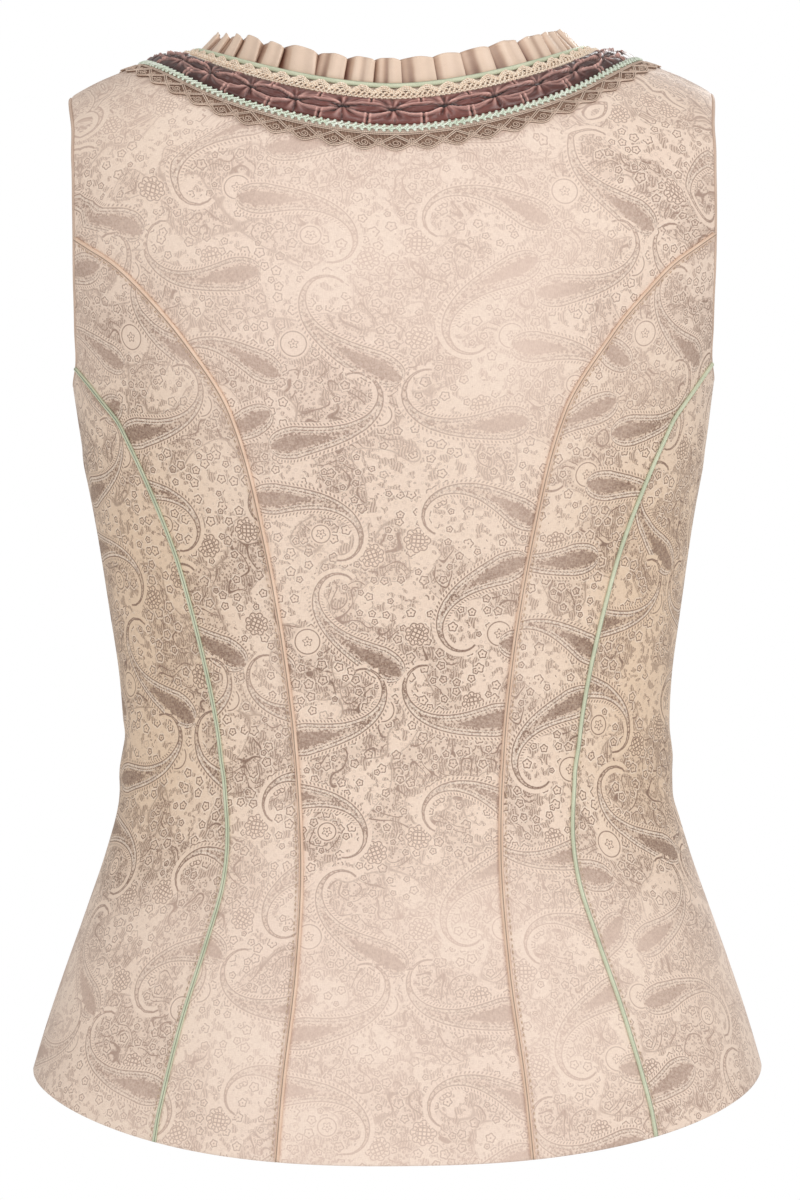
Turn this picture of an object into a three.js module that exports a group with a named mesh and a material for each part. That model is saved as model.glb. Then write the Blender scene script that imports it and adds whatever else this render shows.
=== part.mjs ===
// A traditional fitted bodice of brocade, filled out as it is worn, with nobody in it.
// Millimetres. +Z is up and the front faces -Y. The origin lies midway between the two
// shoulder straps, at the height of their undersides, where the wearer carries the bodice.
// Seven brocade panels are shaped on one general figure. Pipings lie along the back seams,
// an edging runs round each armhole, and a frill with five trims runs round the neck.

import * as THREE from 'three';

// Driving dimensions, in millimetres.
const WALL = 2;
const SEAM_GAP = 0.3;
const CLEARANCE = 0.5;

// The shoulders close over the figure as a rounded cap, which rises a little towards the neck.
const CAP_START = -100;
const CAP_HEIGHT = 118;
const NECK_RISE = 22;
const CAP_POWER = 2.5;
const DEPTH_POWER = 2.2;

// Half width, depth behind and in front of the shoulder line, and squareness of the outline.
const FIGURE = [
  { z: 30, half: 206, back: 98, front: 88, round: 3.0 },
  { z: -30, half: 190, back: 102, front: 96, round: 3.0 },
  { z: -55, half: 177, back: 104, front: 99, round: 2.95 },
  { z: -75, half: 168, back: 105, front: 101, round: 2.88 },
  { z: -100, half: 160, back: 105, front: 102, round: 2.76 },
  { z: -120, half: 155, back: 104, front: 103, round: 2.64 },
  { z: -135, half: 151.6, back: 103, front: 104, round: 2.55 },
  { z: -150, half: 149.3, back: 101, front: 104.5, round: 2.46 },
  { z: -180, half: 145.4, back: 95.5, front: 104.5, round: 2.4 },
  { z: -215, half: 139, back: 88, front: 101, round: 2.4 },
  { z: -252, half: 133.5, back: 80.5, front: 97, round: 2.4 },
  { z: -280, half: 129.8, back: 76, front: 95.5, round: 2.4 },
  { z: -307, half: 128.5, back: 74, front: 96, round: 2.4 },
  { z: -337, half: 130.6, back: 76.5, front: 98, round: 2.4 },
  { z: -360, half: 136.8, back: 82.5, front: 101, round: 2.4 },
  { z: -384, half: 145, back: 91, front: 104, round: 2.4 },
  { z: -415, half: 155.8, back: 101, front: 107.5, round: 2.4 },
  { z: -440, half: 164.3, back: 107, front: 110, round: 2.4 },
  { z: -463, half: 171.3, back: 111.5, front: 111.5, round: 2.4 },
  { z: -512, half: 184, back: 116, front: 113, round: 2.4 },
];

// The cups that the front seams shape.
const CUP = { x: 80, z: -182, rise: 24, wide: 40, above: 46, below: 36 };

// The hem is level at the sides and dips towards the middle of the back and of the front.
const HEM = { side: -463, backDip: 38, frontDip: 27, half: 171.3, round: 2.4, power: 1.35 };

// The neckline: a shallow dip at the back, and a deeper scoop at the front.
const NECK = { half: 90, backZ: -7, backPower: 1.75 };
const FRONT_NECK = [
  { x: 95, z: 0 },
  { x: 96, z: -26 },
  { x: 90, z: -54 },
  { x: 74, z: -84 },
  { x: 49, z: -107 },
  { x: 23, z: -119 },
  { x: 0, z: -122 },
];

// The armhole: the heights on its back edge, which is straight from behind, then the
// underarm and the front edge.
const ARM = { tipX: 149.5, backX: 148.3, underarmZ: -143 };
const ARM_BACK = [{ z: -22 }, { z: -40 }, { z: -58 }, { z: -75 }, { z: -96 }, { z: -117 }, { z: -134 }];
const ARM_FRONT = [
  { x: 147.6, z: -131 },
  { x: 143.5, z: -112 },
  { x: 140.5, z: -88 },
  { x: 140.5, z: -62 },
  { x: 142.5, z: -40 },
  { x: 146, z: -21 },
];

// Where the seams meet the armhole.
const BACK_SEAM_TOP = -75;
const SIDE_SEAM_TOP = -134;
const FRONT_SEAM_TOP = -88;

// Distance of each seam from the middle line of the bodice, by height.
const BACK_SEAM = [
  { z: -75, x: 148.3 },
  { z: -88, x: 129.5 },
  { z: -101, x: 116.5 },
  { z: -124, x: 97.5 },
  { z: -157, x: 77 },
  { z: -216, x: 61.5 },
  { z: -290, x: 50 },
  { z: -358, x: 45.8 },
  { z: -412, x: 48.6 },
  { z: -464, x: 55.2 },
  { z: -505, x: 59 },
];
const SIDE_SEAM = [
  { z: -134, x: 148.3 },
  { z: -147, x: 138.5 },
  { z: -163, x: 127.3 },
  { z: -197, x: 111.7 },
  { z: -230, x: 100 },
  { z: -289, x: 86 },
  { z: -345, x: 79.6 },
  { z: -372, x: 81.5 },
  { z: -399, x: 89.4 },
  { z: -434, x: 101 },
  { z: -475, x: 112 },
  { z: -495, x: 115.5 },
];
const FRONT_SEAM = [
  { z: -88, x: 140.5 },
  { z: -101, x: 127 },
  { z: -120, x: 111 },
  { z: -150, x: 95 },
  { z: -185, x: 84 },
  { z: -225, x: 74 },
  { z: -270, x: 65 },
  { z: -307, x: 61.5 },
  { z: -345, x: 62 },
  { z: -385, x: 66.5 },
  { z: -430, x: 73.5 },
  { z: -495, x: 80 },
];

// Seam and edge pipings.
const PIPING = { half: 1.15, shoulderHalf: 0.8, shoulder: 1.5, crown: 1.95, endGap: 1.2 };
const EDGING_RADIUS = 0.9;
const EDGING_SIDES = 5;

// The trims round the neck, from the edge outwards. Each starts at its own distance from
// the neck edge. The ruched ribbon widens from the middle of the back to the shoulders.
const TRIM_START = 0.2;
const TRIM_GAP = 0.3;
const TRIM_BEVEL = 0.4;
const NECK_PIPING = { width: 2.4, height: 2, bevel: 0.7 };
const GIMP = { width: 5.4, height: 1.2 };
const RUCHE = { width: 13, extra: 3.5, base: 1.2, puff: 2.6, pitch: 20.6, pinch: 0.9, tuck: 0.85 };
const RUCHE_ACROSS = [0.06, 0.3, 0.5, 0.7, 0.94];
const BRAID = { width: 3.4, height: 1.6 };
const LACE = { width: 6.6, scallop: 2.6, height: 1, pitch: 11 };
const FRILL = { height: 12, wall: 1, depth: 3, footDepth: 0.75, lean: 0.5, pitch: 16.5, start: 1.4 };

// The front closes edge to edge, with hooks on one side and eyes on the other, inside.
const HOOK = { count: 9, top: -142, bottom: -462, width: 2.4, metal: 0.8, lift: 0.75, reach: 10 };
const HOOK_BEND = { near: 1.4, far: 2.6, tip: -5, clear: 0.4, slant: 0.6 };
const EYE = { half: 3, holeHalf: 1.7, holeNear: 2.4, holeFar: 6, near: 1 };

// Mesh steps.
const ROWS_LOW = 18;
const ROWS_TOP = { back: 9, front: 14 };
const FRONT_MIDDLE_ROWS = 14;
const STEPS = { back: 8, sideBack: 5, side: 8, front: 7 };
const BAND_STEPS = 40;
const RUCHE_STEPS = 4;
const LACE_STEPS = 3;
const PLEAT_STEPS = 20;
const FINE = 240;
const NEWTON_TURNS = 8;
const SLOPE_STEP = 0.05;
const LINE_TURNS = 20;

// Rays over the cloth from the neckline carry the trims.
const RAY_STEP = 2;
const RAY_COUNT = 22;

const BROCADE = { color: 0xe6cfbf, roughness: 0.55, metalness: 0 };
const COLOURS = {
  beige: { color: 0xd8b99f, roughness: 0.5, metalness: 0 },
  mint: { color: 0xabc8b0, roughness: 0.5, metalness: 0 },
  gimp: { color: 0xdcc9a6, roughness: 0.6, metalness: 0 },
  satin: { color: 0x6e4240, roughness: 0.35, metalness: 0 },
  braid: { color: 0xb9d6be, roughness: 0.6, metalness: 0 },
  lace: { color: 0xa59180, roughness: 0.8, metalness: 0 },
  frill: { color: 0xd8b8a4, roughness: 0.45, metalness: 0 },
  metal: { color: 0xb9b9b4, roughness: 0.3, metalness: 0.9 },
};

// Reading a table: a smooth curve through one column, by another.
function readTable(rows, key, column, at) {
  const sorted = rows[0][key] < rows[rows.length - 1][key] ? rows : [...rows].reverse();
  const last = sorted.length - 1;
  let i = 0;
  while (i < last - 1 && at > sorted[i + 1][key]) i += 1;
  const a = sorted[Math.max(i - 1, 0)];
  const b = sorted[i];
  const c = sorted[i + 1];
  const d = sorted[Math.min(i + 2, last)];
  const span = c[key] - b[key];
  const slopeB = ((c[column] - a[column]) / (c[key] - a[key])) * span;
  const slopeC = ((d[column] - b[column]) / (d[key] - b[key])) * span;
  const t = (at - b[key]) / span;
  if (t < 0) return b[column] + (t * slopeB);
  if (t > 1) return c[column] + ((t - 1) * slopeC);
  const t2 = t * t;
  const t3 = t2 * t;
  return (2 * t3 - 3 * t2 + 1) * b[column] + (t3 - 2 * t2 + t) * slopeB
    + (3 * t2 - 2 * t3) * c[column] + (t3 - t2) * slopeC;
}

const figureAt = (z, column) => readTable(FIGURE, 'z', column, z);

function capHeight(x) {
  const inside = Math.max(0, 1 - (x / NECK.half) ** 2);
  return CAP_HEIGHT + NECK_RISE * inside * inside;
}

function capTerm(x, z) {
  return Math.max(0, (z - CAP_START) / capHeight(x)) ** CAP_POWER;
}

function widthTerm(x, z) {
  return (Math.abs(x) / figureAt(z, 'half')) ** figureAt(z, 'round');
}

function frontDepth(x, z) {
  const across = (Math.abs(x) - CUP.x) / CUP.wide;
  const along = (z - CUP.z) / (z > CUP.z ? CUP.above : CUP.below);
  return figureAt(z, 'front') + CUP.rise * Math.exp(-0.5 * (across * across + along * along));
}

// Below zero inside the figure, zero on the cloth's outer face, above zero outside.
function figureValue(p) {
  const depth = p.y >= 0 ? figureAt(p.z, 'back') : frontDepth(p.x, p.z);
  return widthTerm(p.x, p.z) + (Math.abs(p.y) / depth) ** DEPTH_POWER + capTerm(p.x, p.z) - 1;
}

function gradient(p) {
  const slope = new THREE.Vector3();
  for (const axis of ['x', 'y', 'z']) {
    const ahead = p.clone();
    const behind = p.clone();
    ahead[axis] += SLOPE_STEP;
    behind[axis] -= SLOPE_STEP;
    slope[axis] = (figureValue(ahead) - figureValue(behind)) / (2 * SLOPE_STEP);
  }
  return slope;
}

const outward = (p) => gradient(p).normalize();

// Moves a point that is near the cloth's outer face onto it.
function ontoFigure(start) {
  const p = start.clone();
  for (let turn = 0; turn < NEWTON_TURNS; turn += 1) {
    const slope = gradient(p);
    p.addScaledVector(slope, -figureValue(p) / slope.lengthSq());
  }
  return p;
}

// The point of the outer face at a width and a height: side 1 is the back, -1 the front.
function faceAt(x, z, side) {
  const room = Math.max(0, 1 - widthTerm(x, z) - capTerm(x, z));
  const depth = side > 0 ? figureAt(z, 'back') : frontDepth(x, z);
  return new THREE.Vector3(x, side * depth * room ** (1 / DEPTH_POWER), z);
}

// The shoulder line, where back and front meet.
function shoulderAt(x) {
  let z = 0;
  for (let turn = 0; turn < LINE_TURNS; turn += 1) {
    z = CAP_START + capHeight(x) * (1 - widthTerm(x, z)) ** (1 / CAP_POWER);
  }
  return new THREE.Vector3(x, 0, z);
}

function hemZ(x, side) {
  const dip = side > 0 ? HEM.backDip : HEM.frontDip;
  const rest = Math.max(0, 1 - (Math.abs(x) / HEM.half) ** HEM.round);
  return HEM.side - dip * rest ** (HEM.power / 2);
}

// Lines on the figure, as point lists.
function resample(points, steps) {
  const reach = [0];
  for (let i = 1; i < points.length; i += 1) {
    reach.push(reach[i - 1] + points[i].distanceTo(points[i - 1]));
  }
  const total = reach[reach.length - 1];
  const result = [];
  let k = 0;
  for (let i = 0; i <= steps; i += 1) {
    const want = (total * i) / steps;
    while (k < points.length - 2 && reach[k + 1] < want) k += 1;
    const t = (want - reach[k]) / Math.max(reach[k + 1] - reach[k], 1e-9);
    result.push(points[k].clone().lerp(points[k + 1], Math.min(t, 1)));
  }
  return result;
}

const lengthOf = (points) => points.slice(1).reduce((sum, p, i) => sum + p.distanceTo(points[i]), 0);

// A seam from the hem up to the armhole.
function seamLine(table, topZ, side) {
  const seamX = (z) => readTable(table, 'z', 'x', z);
  let low = HEM.side;
  for (let turn = 0; turn < LINE_TURNS; turn += 1) low = hemZ(seamX(low), side);
  const points = [];
  for (let i = 0; i <= FINE; i += 1) {
    const z = low + ((topZ - low) * i) / FINE;
    points.push(faceAt(seamX(z), z, side));
  }
  return resample(points, ROWS_LOW);
}

// The middle line of the back or front, from the hem up to the neckline.
function middleLine(topZ, side, rows) {
  const low = hemZ(0, side);
  const points = [];
  for (let i = 0; i <= FINE; i += 1) points.push(faceAt(0, low + ((topZ - low) * i) / FINE, side));
  return resample(points, rows);
}

function hemLine(from, to, steps) {
  const angleOf = (p) => Math.atan2((Math.abs(p.x) / HEM.half) ** (HEM.round / 2), Math.sqrt(
    Math.max(0, 1 - (Math.abs(p.x) / HEM.half) ** HEM.round)) * Math.sign(p.y || 1));
  const start = angleOf(from);
  const end = angleOf(to);
  const points = [];
  for (let i = 0; i <= FINE; i += 1) {
    const angle = start + ((end - start) * i) / FINE;
    const side = Math.cos(angle) >= 0 ? 1 : -1;
    const x = HEM.half * Math.abs(Math.sin(angle)) ** (2 / HEM.round);
    points.push(faceAt(x, hemZ(x, side), side));
  }
  const line = resample(points, steps);
  line[0] = from.clone();
  line[steps] = to.clone();
  return line;
}

// The neckline on one side, from the middle back over the shoulder to the middle front.
function backNeck() {
  const high = shoulderAt(NECK.half).z;
  const points = [];
  for (let i = 0; i <= FINE; i += 1) {
    const x = NECK.half * (1 - (1 - i / FINE) ** 2);
    points.push(faceAt(x, NECK.backZ + (high - NECK.backZ) * (x / NECK.half) ** NECK.backPower, 1));
  }
  return points;
}

function frontNeck() {
  const start = shoulderAt(NECK.half);
  const flat = [new THREE.Vector3(start.x, 0, start.z)];
  for (const row of FRONT_NECK) flat.push(new THREE.Vector3(row.x, 0, row.z));
  const mirrored = FRONT_NECK[FRONT_NECK.length - 2];
  flat.push(new THREE.Vector3(-mirrored.x, 0, mirrored.z));
  const curve = new THREE.CatmullRomCurve3(flat);
  const end = (flat.length - 2) / (flat.length - 1);
  const points = [];
  for (let i = 0; i <= FINE; i += 1) {
    const p = curve.getPoint(end * (i / FINE) ** 2);
    points.push(i === 0 ? start.clone() : faceAt(Math.max(p.x, 0), p.z, -1));
  }
  return points;
}

// The armhole edge on one side: down the back edge, under the arm and up the front edge.
function armholeLoop() {
  const tip = shoulderAt(ARM.tipX);
  const keys = [tip];
  for (const row of ARM_BACK) keys.push(faceAt(ARM.backX, row.z, 1));
  keys.push(new THREE.Vector3(figureAt(ARM.underarmZ, 'half'), 0, ARM.underarmZ));
  for (const row of ARM_FRONT) keys.push(faceAt(row.x, row.z, -1));
  const curve = new THREE.CatmullRomCurve3(keys, true);
  const points = [];
  for (let i = 0; i <= keys.length * FINE; i += 1) {
    points.push(ontoFigure(curve.getPoint((i / (keys.length * FINE)) % 1)));
  }
  const stretch = (from, to, steps) => resample(points.slice(from * FINE, to * FINE + 1), steps);
  const backTop = ARM_BACK.findIndex((row) => row.z === BACK_SEAM_TOP) + 1;
  const sideTop = ARM_BACK.findIndex((row) => row.z === SIDE_SEAM_TOP) + 1;
  const frontTop = ARM_BACK.length + 2 + ARM_FRONT.findIndex((row) => row.z === FRONT_SEAM_TOP);
  return {
    back: stretch(0, backTop, ROWS_TOP.back),
    sideBack: stretch(backTop, sideTop, STEPS.sideBack),
    side: stretch(sideTop, frontTop, STEPS.side),
    front: stretch(frontTop, keys.length, ROWS_TOP.front),
  };
}

// A grid of points on the figure that fills four edges.
function fillGrid(left, right, bottom, top) {
  const columns = bottom.length - 1;
  const rows = left.length - 1;
  const grid = [];
  for (let i = 0; i <= columns; i += 1) {
    const u = i / columns;
    const line = [];
    for (let j = 0; j <= rows; j += 1) {
      const v = j / rows;
      const p = new THREE.Vector3()
        .addScaledVector(left[j], 1 - u).addScaledVector(right[j], u)
        .addScaledVector(bottom[i], 1 - v).addScaledVector(top[i], v)
        .addScaledVector(bottom[0], -(1 - u) * (1 - v)).addScaledVector(bottom[columns], -u * (1 - v))
        .addScaledVector(top[0], -(1 - u) * v).addScaledVector(top[columns], -u * v);
      line.push(i === 0 || i === columns || j === 0 || j === rows ? p : ontoFigure(p));
    }
    grid.push(line);
  }
  return grid;
}

// Draws the edges of a grid in by half a seam gap, so that neighbours stay apart. The first
// column stays where it is up to joinedRows.
function drawIn(grid, joinedRows = -1) {
  const columns = grid.length - 1;
  const rows = grid[0].length - 1;
  const inset = SEAM_GAP / 2;
  const moved = grid.map((line) => line.map((p) => p.clone()));
  const pull = (i, j, toI, toJ) => {
    const step = grid[toI][toJ].clone().sub(grid[i][j]).setLength(inset);
    moved[i][j].add(step);
  };
  for (let j = 0; j <= rows; j += 1) {
    if (j > joinedRows) pull(0, j, 1, j);
    pull(columns, j, columns - 1, j);
  }
  for (let i = 0; i <= columns; i += 1) {
    pull(i, 0, i, 1);
    pull(i, rows, i, rows - 1);
  }
  return moved;
}

const mirrored = (p) => new THREE.Vector3(-p.x, p.y, p.z);

// A closed solid from points and triangles, turned outwards.
function solidFrom(positions, faces) {
  const geometry = new THREE.BufferGeometry();
  let volume = 0;
  for (const [a, b, c] of faces) {
    volume += positions[a].dot(positions[b].clone().cross(positions[c]));
  }
  const index = volume > 0 ? faces.flat() : faces.flatMap(([a, b, c]) => [a, c, b]);
  geometry.setAttribute('position', new THREE.Float32BufferAttribute(
    positions.flatMap((p) => [p.x, p.y, p.z]), 3));
  geometry.setIndex(index);
  geometry.computeVertexNormals();
  return geometry;
}

// The two faces and the rims of a sheet. Its first column has no rim up to joinedRows, where
// it meets its own mirror image.
function sheetParts(outer, inner, joinedRows = 0) {
  const columns = outer.length - 1;
  const rows = outer[0].length - 1;
  const positions = [...outer.flat(), ...inner.flat()];
  const size = outer.flat().length;
  const at = (i, j, layer) => layer * size + i * (rows + 1) + j;
  const faces = [];
  const quad = (a, b, c, d) => faces.push([a, b, c], [a, c, d]);
  for (let i = 0; i < columns; i += 1) {
    for (let j = 0; j < rows; j += 1) {
      quad(at(i, j, 0), at(i + 1, j, 0), at(i + 1, j + 1, 0), at(i, j + 1, 0));
      quad(at(i, j, 1), at(i, j + 1, 1), at(i + 1, j + 1, 1), at(i + 1, j, 1));
    }
  }
  for (let i = 0; i < columns; i += 1) {
    quad(at(i, 0, 0), at(i, 0, 1), at(i + 1, 0, 1), at(i + 1, 0, 0));
    quad(at(i, rows, 0), at(i + 1, rows, 0), at(i + 1, rows, 1), at(i, rows, 1));
  }
  for (let j = 0; j < rows; j += 1) {
    if (j >= joinedRows) quad(at(0, j, 0), at(0, j + 1, 0), at(0, j + 1, 1), at(0, j, 1));
    quad(at(columns, j, 0), at(columns, j, 1), at(columns, j + 1, 1), at(columns, j + 1, 0));
  }
  return { positions, faces };
}

function sheet(outer, inner) {
  const { positions, faces } = sheetParts(outer, inner);
  return solidFrom(positions, faces);
}

// A sheet that is whole across the middle, from its half on one side.
function wholeSheet(outer, inner, joinedRows) {
  const { positions, faces } = sheetParts(outer, inner, joinedRows);
  const other = faces.map(([a, b, c]) => [a, c, b].map((index) => index + positions.length));
  return solidFrom([...positions, ...positions.map(mirrored)], [...faces, ...other]);
}

// A rod through rings of points. Its ends are capped, unless it closes on itself.
function rod(rings, closed = false) {
  const sides = rings[0].length;
  const faces = [];
  const count = closed ? rings.length : rings.length - 1;
  for (let i = 0; i < count; i += 1) {
    const next = ((i + 1) % rings.length) * sides;
    for (let k = 0; k < sides; k += 1) {
      const turn = (k + 1) % sides;
      faces.push([i * sides + k, i * sides + turn, next + turn], [i * sides + k, next + turn, next + k]);
    }
  }
  if (!closed) {
    const lastRing = (rings.length - 1) * sides;
    for (let k = 1; k < sides - 1; k += 1) {
      faces.push([0, k + 1, k], [lastRing, lastRing + k, lastRing + k + 1]);
    }
  }
  return solidFrom(rings.flat(), faces);
}

// The bodice.
const bodice = new THREE.Group();
bodice.name = 'traditional_bodice';

function addPiece(name, geometry, look) {
  const mesh = new THREE.Mesh(geometry, new THREE.MeshStandardMaterial(look));
  mesh.name = name;
  bodice.add(mesh);
}

// Adds a piece of the wearer's left side, +X, and its mirror image.
function addPair(name, build, look) {
  addPiece(`${name}_left`, build((p) => p), look);
  addPiece(`${name}_right`, build(mirrored), look);
}

const innerFace = (grid) => grid.map((line) => line.map(
  (p) => p.clone().addScaledVector(outward(p), -WALL)));

const seams = {
  back: seamLine(BACK_SEAM, BACK_SEAM_TOP, 1),
  side: seamLine(SIDE_SEAM, SIDE_SEAM_TOP, 1),
  front: seamLine(FRONT_SEAM, FRONT_SEAM_TOP, -1),
};
const armhole = armholeLoop();
const corners = { back: armhole.sideBack[0], side: armhole.side[0], front: armhole.front[0] };
for (const name of Object.keys(corners)) seams[name][ROWS_LOW] = corners[name].clone();
const necks = { back: backNeck(), front: frontNeck() };

function shoulderLine(steps) {
  const points = [];
  for (let i = 0; i <= FINE; i += 1) {
    points.push(shoulderAt(NECK.half + ((ARM.tipX - NECK.half) * i) / FINE));
  }
  return resample(points, steps);
}

function buildBack() {
  const neck = resample(necks.back, ROWS_TOP.back);
  const armEdge = [...armhole.back].reverse();
  const left = [...middleLine(NECK.backZ, 1, ROWS_LOW), ...neck.slice(1)];
  const right = [...seams.back, ...armEdge.slice(1)];
  const bottom = hemLine(left[0], right[0], STEPS.back);
  const half = drawIn(fillGrid(left, right, bottom, shoulderLine(STEPS.back)), ROWS_LOW);
  addPiece('back_centre', wholeSheet(half, innerFace(half), ROWS_LOW), BROCADE);
}

function buildPanels() {
  const sideBack = drawIn(fillGrid(seams.back, seams.side,
    hemLine(seams.back[0], seams.side[0], STEPS.sideBack), armhole.sideBack));
  const side = drawIn(fillGrid(seams.side, seams.front,
    hemLine(seams.side[0], seams.front[0], STEPS.side), armhole.side));
  const neck = resample([...necks.front].reverse(), ROWS_LOW + ROWS_TOP.front - FRONT_MIDDLE_ROWS);
  const middle = middleLine(FRONT_NECK[FRONT_NECK.length - 1].z, -1, FRONT_MIDDLE_ROWS);
  const edge = [...middle, ...neck.slice(1)];
  const seam = [...seams.front, ...armhole.front.slice(1)];
  const front = drawIn(fillGrid(edge, seam, hemLine(edge[0], seam[0], STEPS.front),
    shoulderLine(STEPS.front)));
  for (const [name, grid] of [['back_side', sideBack], ['side', side], ['front_centre', front]]) {
    const inner = innerFace(grid);
    addPair(name, (put) => sheet(grid.map((line) => line.map(put)), inner.map((line) => line.map(put))),
      BROCADE);
  }
}

// Direction of a line of points at one of them.
function along(points, i, closed = false) {
  const count = points.length;
  const ahead = closed ? points[(i + 1) % count] : points[Math.min(i + 1, count - 1)];
  const behind = closed ? points[(i + count - 1) % count] : points[Math.max(i - 1, 0)];
  return ahead.clone().sub(behind).normalize();
}

// A piping over a seam, flat below and round above.
function buildPiping(name, line, look) {
  const path = line.map((p) => p.clone());
  const last = path.length - 1;
  const shorten = path[last - 1].clone().sub(path[last]).setLength(PIPING.endGap);
  path[last].add(shorten);
  const section = [
    { across: -PIPING.half, up: CLEARANCE },
    { across: -PIPING.shoulderHalf, up: PIPING.shoulder },
    { across: 0, up: PIPING.crown },
    { across: PIPING.shoulderHalf, up: PIPING.shoulder },
    { across: PIPING.half, up: CLEARANCE },
  ];
  const rings = path.map((p, i) => {
    const normal = outward(p);
    const sideways = normal.clone().cross(along(path, i)).normalize();
    return section.map(({ across, up }) => p.clone()
      .addScaledVector(sideways, across).addScaledVector(normal, up));
  });
  addPair(name, (put) => rod(rings.map((ring) => ring.map(put))), look);
}

// The edging of an armhole, a thin roll just beyond the panels' edges.
function buildArmholeEdging() {
  const loop = [armhole.back, armhole.sideBack, armhole.side, armhole.front]
    .flatMap((line) => line.slice(0, -1));
  const middle = (ARM.underarmZ + shoulderAt(ARM.tipX).z) / 2;
  const hub = new THREE.Vector3(figureAt(ARM.underarmZ, 'half'), 0, middle);
  const rings = loop.map((p, i) => {
    const normal = outward(p);
    const away = normal.clone().cross(along(loop, i, true)).normalize();
    if (away.dot(hub.clone().sub(p)) < 0) away.negate();
    const centre = p.clone().addScaledVector(away, SEAM_GAP / 2 + EDGING_RADIUS)
      .addScaledVector(normal, -WALL / 2);
    const ring = [];
    for (let k = 0; k < EDGING_SIDES; k += 1) {
      const angle = (2 * Math.PI * k) / EDGING_SIDES;
      ring.push(centre.clone().addScaledVector(away, EDGING_RADIUS * Math.cos(angle))
        .addScaledVector(normal, EDGING_RADIUS * Math.sin(angle)));
    }
    return ring;
  });
  addPair('armhole_edging', (put) => rod(rings.map((ring) => ring.map(put)), true), COLOURS.beige);
}

const neckLine = [...necks.back, ...necks.front.slice(1)];
const NECK_LENGTH = lengthOf(neckLine);

// Rays on one side, in even steps round the neck from the middle of the back.
function neckRays(steps) {
  const points = resample(neckLine, steps);
  return points.map((start, i) => {
    const end = i === 0 || i === steps;
    const tangent = end ? new THREE.Vector3(i === 0 ? 1 : -1, 0, 0) : along(points, i);
    const base = ontoFigure(start);
    const normal = outward(base);
    const way = normal.clone().cross(tangent).normalize();
    if (way.z > 0 && Math.abs(base.x) < NECK.half / 2) way.negate();
    if (Math.abs(base.x) >= NECK.half / 2 && way.x < 0) way.negate();
    const ray = [base];
    let direction = way.clone();
    for (let k = 0; k < RAY_COUNT; k += 1) {
      const next = ontoFigure(ray[k].clone().addScaledVector(direction, RAY_STEP));
      const up = outward(next);
      direction = next.clone().sub(ray[k]);
      direction.addScaledVector(up, -direction.dot(up)).normalize();
      ray.push(next);
    }
    return { ray, normal, way, part: i / steps };
  });
}

// A point at a distance from the neck edge and a height over the cloth.
function overCloth(entry, distance, height) {
  const place = Math.min(Math.max(distance / RAY_STEP, 0), RAY_COUNT - 1e-6);
  const k = Math.floor(place);
  const p = entry.ray[k].clone().lerp(entry.ray[k + 1], place - k);
  return p.addScaledVector(outward(p), height);
}

// The two ends stop short of each other at the front opening.
function keepOffMiddle(ring) {
  return ring.map((p) => new THREE.Vector3(SEAM_GAP, p.y, p.z));
}

// A band round the whole neck. Its section is worked out for each step, from the middle of
// the back to the front opening, and mirrored.
function buildBand(name, steps, section, look) {
  const half = neckRays(steps).map((entry) => section(entry));
  half[steps] = keepOffMiddle(half[steps]);
  const rings = [...half.slice(1).reverse().map((ring) => ring.map(mirrored)), ...half];
  addPiece(name, rod(rings), look);
}

const gimpStart = TRIM_START + NECK_PIPING.width + TRIM_GAP;
const rucheStart = gimpStart + GIMP.width + TRIM_GAP;

// The ribbon is widest at the shoulder and on the front.
const SHOULDER_PART = lengthOf(necks.back) / NECK_LENGTH;
const widen = (part) => RUCHE.extra * Math.min(1, (part / SHOULDER_PART) ** 2);
const rucheEnd = (part) => rucheStart + RUCHE.width + widen(part);
const braidStart = (part) => rucheEnd(part) + TRIM_GAP;
const laceStart = (part) => braidStart(part) + BRAID.width + TRIM_GAP;

function flatSection(start, width, height, bevel = TRIM_BEVEL) {
  return (entry) => [
    overCloth(entry, start, CLEARANCE),
    overCloth(entry, start + bevel, CLEARANCE + height),
    overCloth(entry, start + width - bevel, CLEARANCE + height),
    overCloth(entry, start + width, CLEARANCE),
  ];
}

// The gathered satin ribbon: it is pinched to a point at every pitch along its middle, and
// tucked at both edges halfway between, so that it swells between them.
function rucheHeight(part, v) {
  const phase = (part * NECK_LENGTH) / RUCHE.pitch;
  const pinch = Math.abs(Math.cos(Math.PI * phase));
  const tuck = Math.abs(Math.sin(Math.PI * phase));
  const middle = Math.exp(-(((v - 0.5) / 0.2) ** 2));
  const edge = Math.exp(-((Math.min(v, 1 - v) / 0.16) ** 2));
  const pinched = 1 - RUCHE.pinch * middle * pinch ** 3;
  const tucked = 1 - RUCHE.tuck * edge * tuck ** 4;
  return RUCHE.base + RUCHE.puff * pinched * tucked;
}

function rucheSection(entry) {
  const width = RUCHE.width + widen(entry.part);
  const ring = [overCloth(entry, rucheStart, CLEARANCE)];
  for (const v of RUCHE_ACROSS) {
    ring.push(overCloth(entry, rucheStart + width * v, CLEARANCE + rucheHeight(entry.part, v)));
  }
  ring.push(overCloth(entry, rucheStart + width, CLEARANCE));
  return ring;
}

function laceSection(entry) {
  const start = laceStart(entry.part);
  const phase = (entry.part * NECK_LENGTH) / LACE.pitch;
  const reach = start + LACE.width + LACE.scallop * Math.abs(Math.cos(Math.PI * phase)) ** 1.5;
  return [
    overCloth(entry, start, CLEARANCE),
    overCloth(entry, start, CLEARANCE + LACE.height),
    overCloth(entry, reach, CLEARANCE + LACE.height),
    overCloth(entry, reach, CLEARANCE),
  ];
}

// The frill stands on the neck edge in soft pleats, each with a slow rise and a sharp return.
const PLEAT = [
  { phase: 0, out: 0 },
  { phase: 0.15, out: 0.85 },
  { phase: 0.45, out: 1 },
  { phase: 0.8, out: 0.6 },
];

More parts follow.
